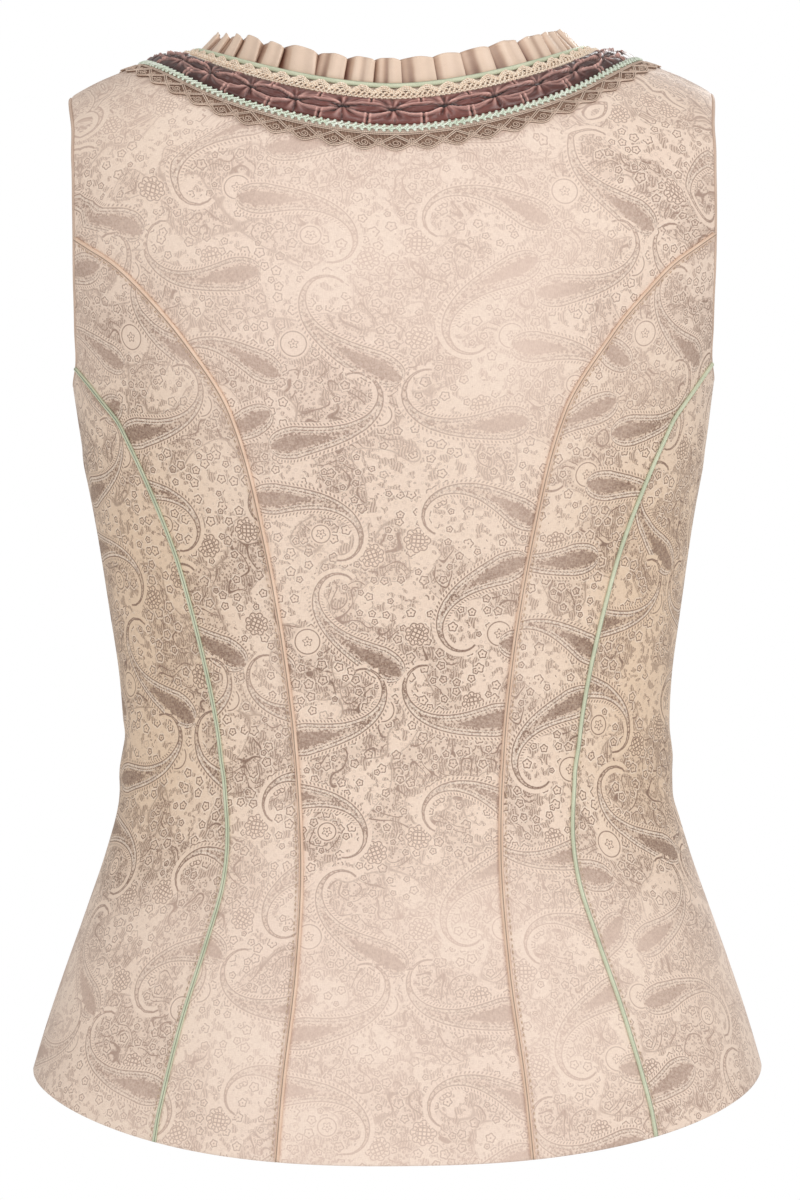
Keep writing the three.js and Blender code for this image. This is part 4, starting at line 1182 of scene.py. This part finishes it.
def neck_table():
    """Points and normals of the rays, and the directions in which they set out."""
    points = onto_figure(resample(NECK_LINE, np.linspace(0, 1, NECK_STEPS + 1)))
    tangent = unit(np.gradient(points, axis=0))
    tangent[0], tangent[-1] = (1, 0, 0), (-1, 0, 0)
    normal = outward(points)
    way = unit(np.cross(normal, tangent))
    near_middle = np.abs(points[:, 0]) < NECK_HALF / 2
    wrong = np.where(near_middle, way[:, 2] > 0, way[:, 0] < 0)
    way = way * np.where(wrong, -1, 1)[:, None]
    rays, direction = [points], way
    for _ in range(RAY_COUNT):
        ahead = onto_figure(rays[-1] + direction * RAY_STEP, 3)
        up = outward(ahead)
        direction = ahead - rays[-1]
        direction = unit(direction - up * (direction * up).sum(-1, keepdims=True))
        rays.append(ahead)
    rays = np.stack(rays, 1)
    return rays, outward(rays), way


NECK_RAYS, NECK_NORMALS, NECK_WAYS = neck_table()
FRONT_END = NECK_LENGTH - 0.45


def neck_rows(place):
    """Row of the table below each place along the neck edge, the part of a row beyond it, and the
    mirror of its side."""
    row = clip(np.abs(place) / NECK_LENGTH) * NECK_STEPS
    low = np.minimum(row.astype(int), NECK_STEPS - 1)
    side = np.stack([np.where(place < 0, -1.0, 1.0), np.ones_like(row), np.ones_like(row)], -1)
    return low, (row - low)[..., None], side


def on_neck(place, distance, height):
    """Points at a place along the neck edge, from the middle of the back, positive to the wearer's
    left, at a distance from the edge and a height over the cloth. Also the cloth's normal there."""
    place, distance, height = np.broadcast_arrays(*(np.asarray(v, float) for v in (place, distance, height)))
    i, u, side = neck_rows(place)
    column = np.clip(distance / RAY_STEP, 0, RAY_COUNT - 1e-6)
    j = column.astype(int)
    v = (column - j)[..., None]

    def read(table):
        return ((table[i, j] * (1 - u) + table[i + 1, j] * u) * (1 - v)
                + (table[i, j + 1] * (1 - u) + table[i + 1, j + 1] * u) * v)

    normal = unit(read(NECK_NORMALS))
    point = read(NECK_RAYS) + normal * height[..., None]
    return point * side, normal * side


# The trims: where one starts, as a distance from the neck edge, its width, and its pattern's pitch.
PIPING_AT, PIPING_WIDE, PIPING_HEIGHT = 0.2, 2.4, 1.25
GIMP_AT, GIMP_PITCH = 2.9, 4.75
RIBBON_AT, RIBBON_WIDE, RIBBON_EXTRA = 8.6, 13.0, 3.5
BRAID_WIDE, BRAID_PITCH = 3.4, 2.7
LACE_WIDE, LACE_SCALLOP, LACE_PITCH = 6.6, 2.6, 11.0
TRIM_GAP = 0.3


def widen(place):
    """How much wider the ribbon is than at the middle of the back."""
    return RIBBON_EXTRA * np.minimum(1, (np.abs(place) / SHOULDER_REACH) ** 2)


def braid_at(place):
    """Where the braid starts, as a distance from the neck edge."""
    return RIBBON_AT + RIBBON_WIDE + widen(place) + TRIM_GAP


def lace_at(place):
    """Where the lace starts, as a distance from the neck edge."""
    return braid_at(place) + BRAID_WIDE + TRIM_GAP


def neck_places(step):
    """Even places along the neck edge, from one front end to the other."""
    count = round(2 * FRONT_END / step)
    return np.linspace(-FRONT_END, FRONT_END, count + 1)


class Tubes:
    """Round cords gathered into one mesh."""

    def __init__(self):
        self.points, self.faces, self.corners, self.count = [], [], [], 0

    def add(self, line, normals, radius, sides, closed=False):
        count = len(line)
        if closed:
            tangent = unit(np.roll(line, -1, 0) - np.roll(line, 1, 0))
        else:
            tangent = unit(np.gradient(line, axis=0))
        side = unit(np.cross(tangent, normals))
        up = unit(np.cross(side, tangent))
        angle = 2 * np.pi * np.arange(sides) / sides
        radius = np.broadcast_to(radius, (count,))[:, None, None]
        ring = (side[:, None] * np.cos(angle)[None, :, None]
                + up[:, None] * np.sin(angle)[None, :, None]) * radius
        points = line[:, None] + ring
        reach = reach_of(line)
        if closed:
            points = np.concatenate([points, points[:1]])
            reach = np.append(reach, reach[-1] + np.linalg.norm(line[0] - line[-1]))
        rows = len(points)
        faces = grid_faces(rows, sides, wrap=True)
        i, k = faces // sides, faces % sides
        turn = k / sides
        turn = np.where((turn == 0) & (k[:, [1, 0, 3, 2]] == sides - 1), 1.0, turn)
        self.corners.append(np.stack([reach[i], turn], -1))
        if closed:
            faces = faces % (count * sides)
            points = points[:-1]
        self.points.append(points.reshape(-1, 3))
        self.faces.append(faces + self.count)
        self.count += points.shape[0] * sides
        if not closed:
            self.cap(self.count - rows * sides, sides, -1)
            self.cap(self.count - sides, sides, 1)

    def cap(self, start, sides, way):
        for k in range(1, sides - 2, 2):
            face = np.array([[start, start + k, start + k + 1, start + k + 2]])
            self.faces.append(face[:, ::way])
            self.corners.append(np.zeros((1, 4, 2)))

    def neck_cord(self, places, distance, height, radius, sides=6):
        line, normals = on_neck(places, distance, height)
        self.add(line, normals, radius, sides)

    def finish(self, name, slot, nodes, material):
        points, faces, corners = (np.concatenate(v) for v in (self.points, self.faces, self.corners))
        finish_piece(new_piece(name, points, faces, {"cord": corners}), slot, nodes, material)


def build_neck_piping():
    """A plain satin piping along the neck edge."""
    tubes = Tubes()
    half = PIPING_WIDE / 2
    tubes.neck_cord(neck_places(1.6), PIPING_AT + half, PIPING_HEIGHT, half, 10)
    tubes.finish("neck_piping_satin", "mint_piping", ["neck_piping"], MINT)


KNOT_PARTS, KNOT_SIZES = np.linspace(-0.55, 0.55, 5), np.array([0.15, 0.5, 0.6, 0.5, 0.15])


def build_gimp():
    """Two strands plaited round knots, a cord beside them, and three rows of arches towards the neck."""
    tubes = Tubes()
    places = neck_places(0.45)
    middle = GIMP_AT + 3.5
    for phase in (0, math.pi):
        wave = places * (2 * math.pi / GIMP_PITCH) + phase
        tubes.neck_cord(places, middle + 1.25 * np.sin(wave), 1.1 + 0.45 * np.cos(wave), 0.5)
    tubes.neck_cord(places, GIMP_AT + 5.1 + 0.25 * np.sin(places * 2.65), 0.95, 0.42)
    arch = GIMP_AT + 2.4 - 2.8 * np.abs(np.sin(places * (math.pi / (2 * GIMP_PITCH)))) ** 0.8
    climb = 1.2 * clip((GIMP_AT + 0.4 - arch) / 1.6)
    twist = places * 2.6
    tubes.neck_cord(places, arch, 1.35 + climb + 0.2 * np.sin(twist), 0.45)
    tubes.neck_cord(places, arch + 0.85, 1.25 + climb * 0.9 + 0.15 * np.cos(twist), 0.42)
    tubes.neck_cord(places, arch + 1.65, 1.2 + climb * 0.4, 0.36)
    last = FRONT_END / GIMP_PITCH
    for knot in np.arange(-math.floor(last) + 0.5, last - 0.5) * GIMP_PITCH:
        tubes.neck_cord(knot + KNOT_PARTS, middle, 1.75, KNOT_SIZES)
    tubes.finish("neck_gimp_cords", "gimp", ["neck_gimp"], GIMP_CORD)


def build_braid():
    """Two coiled strands that cross in small loops along both edges, over a straight cord."""
    tubes = Tubes()
    places = neck_places(0.3)
    middle = braid_at(places) + BRAID_WIDE / 2
    for phase, lift in ((0, 0), (math.pi, 0.15)):
        wave = places * (math.pi / BRAID_PITCH) + phase
        along = np.clip(places + 0.9 * np.sin(2 * wave), -FRONT_END, FRONT_END)
        tubes.neck_cord(along, middle + 1.55 * np.sin(wave), 1.15 + lift + 0.35 * np.cos(wave), 0.42, 5)
    tubes.neck_cord(places, middle + 0.2 * np.sin(places * 2.3), 0.85, 0.4, 5)
    tubes.finish("mint_braid_cords", "mint_braid", ["mint_braid"], BRAID_CORD)


# Straight and toothed cords of the lace: distance from its start, tooth, height and radius.
LACE_ROWS = [(0.35, 0, 0.85, 0.27), (1.1, 0, 0.85, 0.27), (1.3, 4.0, 1.05, 0.24), (2.25, 4.0, 1.05, 0.24)]
# Curls of the lace: place in a scallop, depth, size and way.
LACE_CURLS = [(-0.1, 5.6, 1.75, 1), (LACE_PITCH / 2, 4.1, 1.25, -1)]
CURL_TURN, CURL_HEIGHT, SPRIG_HEIGHT, CURL_RADIUS = 3.4 * math.pi, 1.1, 1.05, 0.22
# The ground behind them, dark both as the lace's net and as painted shadow under the cords: parts of the
# lace's depth, and heights there.
LACE_GROUND_SECTION = [(0.0, 0.05), (0.02, 0.55), (0.5, 0.6), (0.94, 0.55), (1.0, 0.05)]


def build_lace():
    """Corded lace: a heading, a row of doubled points, a scalloped edge and curls in each scallop."""
    tubes = Tubes()
    places = neck_places(0.5)
    start = lace_at(places)
    wave = np.abs(np.cos(places * (math.pi / LACE_PITCH)))
    edge = start + LACE_WIDE + LACE_SCALLOP * wave**1.5
    saw = 1 - np.abs((places / LACE_PITCH * 2) % 2 - 1)
    for off, tooth, height, radius in LACE_ROWS:
        tubes.neck_cord(places, start + off + tooth * saw, height, radius, 5)
    tubes.neck_cord(places, edge - 0.35, 1.0, 0.3, 5)
    tubes.neck_cord(places, edge - 1.2, 0.95, 0.24, 5)
    last = int(FRONT_END / LACE_PITCH)
    angle = np.linspace(0, CURL_TURN, 34)
    t = np.linspace(0, 1, 14)
    for centre in np.arange(-last, last + 1) * LACE_PITCH:
        for offset, deep, size, way in LACE_CURLS:
            middle = centre + offset
            if abs(middle) <= FRONT_END - 3:
                radius = size * (1 - 0.78 * angle / CURL_TURN)
                across = lace_at(middle) + deep + radius * np.sin(angle)
                tubes.neck_cord(middle + way * radius * np.cos(angle), across, CURL_HEIGHT, CURL_RADIUS, 5)
        for side in (-1, 1):
            if abs(centre + side * 4) <= FRONT_END - 2:
                bow = centre + side * (1.9 + 2.6 * t)
                across = lace_at(bow) + 5.7 + 1.5 * np.sin(math.pi * t) - 1.3 * t
                tubes.neck_cord(bow, across, SPRIG_HEIGHT, CURL_RADIUS, 5)
    tubes.finish("lace_edging_cords", "lace", ["lace_edging"], LACE_CORD)

    points = np.stack([on_neck(places, start + (edge - start - 0.3) * part, height)[0]
                       for part, height in LACE_GROUND_SECTION], 1)
    columns = len(LACE_GROUND_SECTION)
    faces = grid_faces(len(places), columns)
    corners = np.stack([places[faces // columns], faces % columns / (columns - 1)], -1)
    ground = new_piece("lace_edging_net_and_shadow", points.reshape(-1, 3), faces, {"cord": corners})
    finish_piece(ground, "lace", [], LACE_NET_AND_SHADOW)


RIBBON_PITCH = 20.6


def scatter(index, salt):
    """A steady number from 0 to 1 for each index."""
    value = np.sin(np.asarray(index) * 12.9898 + salt * 78.233) * 43758.5453
    return value - np.floor(value)


def dent(value, width):
    """A smooth bump of height 1 at zero."""
    return np.exp(-((value / width) ** 2))


def ribbon_height(place, v, width):
    """Height of the ruched satin, and how far each point lies in one of its hollows or on one of its crests,
    which both shape it and set its painted shade and painted highlights. It is drawn in to a star at every
    pitch, with thin lips from star to star and short tucks at its edges."""
    star = np.round(place / RIBBON_PITCH)
    left = np.floor(place / RIBBON_PITCH)
    dx = place - star * RIBBON_PITCH - 1.6 * (scatter(star, 6) - 0.5)
    u = place / RIBBON_PITCH - left
    sag = 1.4 * ((scatter(left, 7) - 0.5) * (1 - u) + (scatter(left + 1, 7) - 0.5) * u)
    dy = (v - 0.5) * width - sag
    r = np.hypot(dx, dy)
    turn = np.arctan2(dy, dx)
    span = np.sin(np.pi * u)
    swell = clip(np.sin(np.pi * np.clip(v, 0.001, 0.999))) ** 0.4
    low = 0.9 * dent(r, 1.1)
    high = np.zeros_like(low)
    for side in (-1, 1):
        line = dy - side * (1.5 + 1.0 * scatter(left, 8 + side)) * span
        low = low + 0.85 * dent(line, 0.4)
        high = high + 0.75 * dent(side * line - 0.85, 0.42) * span**0.3
        arc = side * dy - (4.4 + 0.8 * scatter(left, 10 + side)) * span**0.75
        low = low + 0.55 * dent(arc, 0.42) * (0.4 + 0.6 * scatter(left, 12 + side)) * span**0.4
        high = high + 0.45 * dent(arc + 0.75, 0.4) * span**0.4
        middle = left * RIBBON_PITCH + RIBBON_PITCH * (0.5 + 0.12 * (scatter(left, 14 + side) - 0.5))
        slant = 0.25 * (scatter(left, 16 + side) - 0.5)
        tuck = place - middle - slant * (np.abs(dy) - 5)
        deep = clip((side * dy - 2.6) / 1.2)
        low = low + 0.95 * dent(tuck, 0.4) * deep
        high = high + 0.7 * dent(np.abs(tuck) - 0.95, 0.42) * deep
        low = low + 0.6 * dent(dx + 0.5 * side, 0.35) * clip(side * dy - 4.0)
    low = low + 0.8 * dent(dy, 0.4) * (1 - span) ** 0.7
    rays = np.cos(turn * 7 + 6 * scatter(star, 1)) + 0.5 * np.cos(turn * 4 + 6 * scatter(star, 2))
    ring = dent(r - 3.0, 2.3) * (r > 0.6)
    low = low + 0.5 * np.clip(-rays, 0, 2) * ring
    high = high + 0.45 * np.clip(rays, 0, 2) * ring
    high = high * (1 - clip(low))
    wave = 0.22 * np.sin(place * 0.9 + 7 * scatter(star, 5) + v * 4) * swell
    height = 0.7 + 2.2 * swell - 1.7 * np.clip(low, 0, 1.1) * swell + 0.9 * high + wave
    return np.maximum(height, 0.3), clip(low), clip(high)


def build_ribbon():
    """The ruched ribbon: its satin surface, with maps of painted shade in its hollows and over the
    shoulders, and of painted highlights on its crests.
    """
    places = neck_places(0.42)
    across = np.concatenate([[0, 0.006], np.linspace(0.03, 0.97, 29), [0.994, 1]])
    columns = len(across)
    width = (RIBBON_WIDE + widen(places))[:, None]
    place, v = np.meshgrid(places, across, indexing="ij")
    height, low, high = ribbon_height(place, v, width)
    height[:, [0, -1]] = 0.1
    height[:, [1, -2]] = np.maximum(height[:, [1, -2]], 0.7)
    # Painted shade: the ribbon is darker over the shoulders, where it faces up away from the light, and
    # plain again down the front.
    part = np.abs(place) / SHOULDER_REACH
    shade = 0.7 * clip((part - 0.15) / 0.5) * clip((1.7 - part) / 0.5)
    points = on_neck(place, RIBBON_AT + width * v, height)[0]
    faces = grid_faces(len(places), columns)
    i, j = faces // columns, faces % columns
    maps = {"satin": np.stack([places[i], RIBBON_WIDE * across[j]], -1),
            "fold_shade": np.stack([np.maximum(low, shade)[i, j], high[i, j]], -1)}
    piece = new_piece("ruched_ribbon_satin", points.reshape(-1, 3), faces, maps)
    finish_piece(piece, "satin_ribbon", ["ruched_ribbon"], RIBBON)


FRILL_HEIGHT, FRILL_START, FRILL_LEAN = 12.0, 1.4, 0.5
FRILL_HALF_WALL = 0.22
PLEAT_POINTS, PLEAT_STEP = 17, 0.5
# How far a pleat stands out at parts of its width, before the next one laps over it.
PLEAT_SHAPE = ([0, 0.05, 0.2, 0.55, 0.85, 1.0], [4.3, 5.0, 4.9, 4.0, 2.2, 0.4])


def pleat_path():
    """The frill's line from end to end: places along the neck, how far each stands out, how much painted
    shade it gets in its folds and under the lap of the next pleat, a random number for its pleat and its
    top's bow. Each pleat laps over the next."""
    rows = []
    start, number = -FRONT_END + 1.5, 0
    t = np.linspace(0, 1, PLEAT_POINTS)
    bow = np.sin(np.pi * clip(t / 0.9)) ** 0.6
    back = np.array([0.3, 0.7])
    rest = np.zeros(2)
    while start < FRONT_END - 9:
        width = min(16.0 + 6.5 * scatter(number, 11), FRONT_END - 1.0 - start)
        lap = 2.4 + 1.6 * scatter(number, 12)
        waves = 1.2 + 1.3 * scatter(number, 13)
        soft = np.sin(2 * np.pi * waves * t + 6 * scatter(number, 14)) * np.sin(np.pi * t)
        # Painted shade: darker towards the end that the next pleat laps over, and in the soft folds.
        deep = 0.9 * clip((t - 0.66) / 0.2) ** 1.5 + 0.6 * clip(-soft) ** 1.3
        chance = scatter(number, 15)
        out = np.interp(t, *PLEAT_SHAPE) + 0.8 * soft
        rows.append(np.stack([start + width * t, out, deep, np.full(len(t), chance), bow], -1))
        last = start + width
        rows.append(np.stack([last - lap * back, 0.4 - 0.2 * back, rest + 1, rest + chance, rest], -1))
        start = last - lap
        number += 1
    path = np.concatenate(rows)
    reach = reach_of(path[:, :2])
    parts = np.linspace(0, reach[-1], round(reach[-1] / PLEAT_STEP))
    path = np.stack([np.interp(parts, reach, column) for column in path.T], -1)
    smooth = np.pad(path, ((1, 1), (0, 0)), mode="edge")
    return (smooth[:-2] + 2 * smooth[1:-1] + smooth[2:]) / 4, reach[-1]


def build_frill():
    """The pleated frill, a thin closed sheet that stands on the neck edge, and its length drawn out."""
    path, length = pleat_path()
    place, depth, deep, chance, bow = path.T
    levels = np.linspace(0, 1, 12)
    low, part, side = neck_rows(place)

    def read(table):
        return (table[low] * (1 - part) + table[low + 1] * part) * side

    foot, normal, way = read(NECK_RAYS[:, 0]), unit(read(NECK_NORMALS[:, 0])), unit(read(NECK_WAYS))
    rise = unit(-way + normal * FRILL_LEAN)
    face = unit(normal + way * FRILL_LEAN)
    tangent = unit(np.cross(face, rise))
    slant = 4.0 * (chance - 0.5)
    arch = 1.7 * bow - 1.5
    points = []
    for layer in (FRILL_HALF_WALL, -FRILL_HALF_WALL):
        rows = []
        for level in levels:
            out = (depth - 1.9) * (0.35 + 0.65 * level**0.7) + layer + 0.4 * level**4
            tall = FRILL_START - 1.2 + (FRILL_HEIGHT + 0.2 + arch + 1.5 * (chance - 0.5)) * level
            rows.append(foot - normal * (WALL / 2) + rise * tall[:, None] + face * out[:, None]
                        + tangent * (slant * level**1.3)[:, None])
        points.append(np.stack(rows, 1).reshape(-1, 3))
    points = np.concatenate(points)
    rows, columns = len(place), len(levels)
    faces = closed_quads(rows, columns)
    i, j = (faces % (rows * columns)) // columns, faces % columns
    reach = np.linspace(0, length, rows)
    # Painted shade in the folds, a little less towards the top, and towards the foot of the frill.
    shade = deep[:, None] * (1 - 0.25 * levels)[None] + 0.25 * (1 - levels)[None] ** 2
    # Painted highlight on the pleats where they stand out most.
    crest_highlight = 0.6 * clip((depth - 3.6) / 0.8)
    corners = np.stack([reach[i], levels[j] * FRILL_HEIGHT], -1)
    fold_shades = np.stack([clip(shade)[i, j], crest_highlight[i]], -1)
    faces, corners, fold_shades = turned_out(points, faces, corners, fold_shades)
    piece = new_piece("neck_frill_satin", points, faces, {"satin": corners, "fold_shade": fold_shades})
    return finish_piece(piece, "frill", ["neck_frill"], FRILL), length


PIPING_PARTS = np.linspace(0.0008, 0.9965, 240)
PIPINGS = [
    # seam, slot, look, radius, height of the middle
    ("back", "beige_piping", BEIGE, 1.15, 0.55),
    ("side", "mint_piping", MINT, 1.0, 0.5),
]


def build_pipings():
    """Pipings over the seams of both sides, half sunk in the cloth."""
    for seam, slot, material, radius, height in PIPINGS:
        line = resample(SEAMS[seam], PIPING_PARTS)
        for side, mirror in MIRRORS.items():
            normals = outward(line) * mirror
            lift = crease_at(line * mirror) + height
            tubes = Tubes()
            tubes.add(line * mirror + normals * lift[:, None], normals, radius, 10)
            tubes.finish(f"{seam}_seam_{side}_cord", slot, [f"{seam}_seam_piping_{side}"], material)


ROLL_RADIUS, ROLL_IN, ROLL_DEPTH = 0.95, 0.85, 0.9


def build_edging():
    """A rolled edging round each armhole."""
    loop = resample(ARM_LOOP, np.linspace(0, 1, 260))[:-1]
    normals = outward(loop)
    away = unit(np.cross(normals, unit(np.roll(loop, -1, 0) - np.roll(loop, 1, 0))))
    away = away * np.sign((away * (loop.mean(0) - loop)).sum(-1))[:, None]
    for side, mirror in MIRRORS.items():
        lift = crease_at(loop * mirror)[:, None]
        centre = (loop + away * ROLL_IN + normals * (lift - ROLL_DEPTH)) * mirror
        tubes = Tubes()
        tubes.add(centre, normals * mirror, ROLL_RADIUS, 8, closed=True)
        tubes.finish(f"armhole_{side}_roll", "edging", [f"armhole_edging_{side}"], EDGING)


STITCH_LENGTH, STITCH_PITCH, STITCH_RADIUS = 2.1, 3.0, 0.28
STITCH_HEIGHTS = np.array([-0.25, 0.1, 0.18, 0.1, -0.25])
STITCH_SIZES = STITCH_RADIUS * np.array([0.5, 1, 1.1, 1, 0.5])


def stitch_row(tubes, line, offset, mirror):
    """Small stitches beside a line on the figure, half sunk in the cloth."""
    total = reach_of(line)[-1]
    for start in np.arange(2.0, total - 3, STITCH_PITCH):
        points = resample(line, (start + np.linspace(0, STITCH_LENGTH, 5)) / total)
        normals = outward(points)
        across = unit(np.cross(normals, unit(np.gradient(points, axis=0))))
        points = onto_figure(points + across * offset, 2)
        lift = crease_at(points * mirror) + STITCH_HEIGHTS
        tubes.add((points + normals * lift[:, None]) * mirror, normals * mirror, STITCH_SIZES, 4)


def build_stitches():
    front = middle_line(FRONT_NECK[-1][1], -1)
    for side, mirror in MIRRORS.items():
        tubes = Tubes()
        for line, offset in ((SEAMS["back"], 2.5), (SEAMS["side"], 2.5), (front, -3.0)):
            stitch_row(tubes, line, offset, mirror)
        tubes.finish(f"seam_stitches_{side}", "brocade", [], THREAD)


panels = build_panels()
build_pipings()
build_edging()
build_neck_piping()
build_gimp()
build_ribbon()
build_braid()
build_lace()
frill, frill_length = build_frill()
build_stitches()
for node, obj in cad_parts.items():
    if node.startswith(("hook_", "eye_")):
        obj.data.materials.clear()
        obj.data.materials.append(STEEL)

# The frill's drawn out length, in metres.
frill_length * MM


# The camera at the photograph's angle, level and behind the bodice, and the studio.
CAMERA_DISTANCE, CAMERA_YAW, CAMERA_ROLL, CAMERA_LENS = 3.5, 1.3, -0.48, 223.4
CAMERA_TARGET = Vector((-0.0023, 0.0, -0.2435))
LIGHT_TARGET = Vector((0, 0, -0.24))
LIGHTS = [
    # name, place, size, power
    ("key", (0.5, 3.4, 0.7), 1.8, 31),
    ("right", (-2.3, 1.8, 0.7), 1.6, 28),
    ("left", (2.6, 1.7, 0.1), 1.6, 12),
    ("front_key", (-1.0, -3.2, 1.0), 2.0, 42),
    ("top", (0.0, 0.2, 2.4), 2.0, 12),
]
WORLD_LIGHT, WORLD_SEEN = ((1, 0.99, 0.975, 1), 0.5), ((1, 1, 1, 1), 1.0)
FLOOR_HALF, FLOOR_Z = 5000, -1200


def build_camera():
    """The camera at the photograph's angle."""
    distance, yaw = CAMERA_DISTANCE, math.radians(CAMERA_YAW)
    data = bpy.data.cameras.new("camera")
    data.sensor_width = 36
    data.lens = CAMERA_LENS
    camera = bpy.data.objects.new("camera", data)
    bpy.context.scene.collection.objects.link(camera)
    camera.location = CAMERA_TARGET + Vector((math.sin(yaw) * distance, math.cos(yaw) * distance, 0))
    aim = (CAMERA_TARGET - camera.location).to_track_quat("-Z", "Y")
    camera.rotation_euler = (aim @ Quaternion((0, 0, 1), math.radians(CAMERA_ROLL))).to_euler()
    bpy.context.scene.camera = camera


def build_lights():
    """Large round lamps, all turned to one point."""
    for name, place, size, power in LIGHTS:
        data = bpy.data.lights.new(name, "AREA")
        data.shape = "DISK"
        data.size = size
        data.energy = power
        light = bpy.data.objects.new(name, data)
        light.location = place
        light.rotation_euler = (LIGHT_TARGET - Vector(place)).to_track_quat("-Z", "Y").to_euler()
        bpy.context.scene.collection.objects.link(light)


def build_world():
    """Soft light from all round, in front of plain white."""
    world = bpy.data.worlds.new("world")
    world.use_nodes = True
    tree = world.node_tree
    tree.nodes.clear()
    output, path, blend = (tree.nodes.new(f"ShaderNode{kind}")
                           for kind in ("OutputWorld", "LightPath", "MixShader"))
    tree.links.new(path.outputs["Is Camera Ray"], blend.inputs[0])
    for socket, (colour, strength) in zip(blend.inputs[1:], (WORLD_LIGHT, WORLD_SEEN)):
        background = tree.nodes.new("ShaderNodeBackground")
        background.inputs[0].default_value = colour
        background.inputs[1].default_value = strength
        tree.links.new(background.outputs[0], socket)
    tree.links.new(blend.outputs[0], output.inputs[0])
    bpy.context.scene.world = world
    bpy.context.scene.view_settings.view_transform = "Standard"


def build_floor():
    """A plain pale floor, far below."""
    corners = [(x * FLOOR_HALF, y * FLOOR_HALF, FLOOR_Z) for x, y in ((-1, -1), (1, -1), (1, 1), (-1, 1))]
    floor = new_piece("floor", corners, [[0, 1, 2, 3]], smooth=False)
    floor.data.materials.append(floor_look())


build_camera()
build_floor()
build_lights()
build_world()
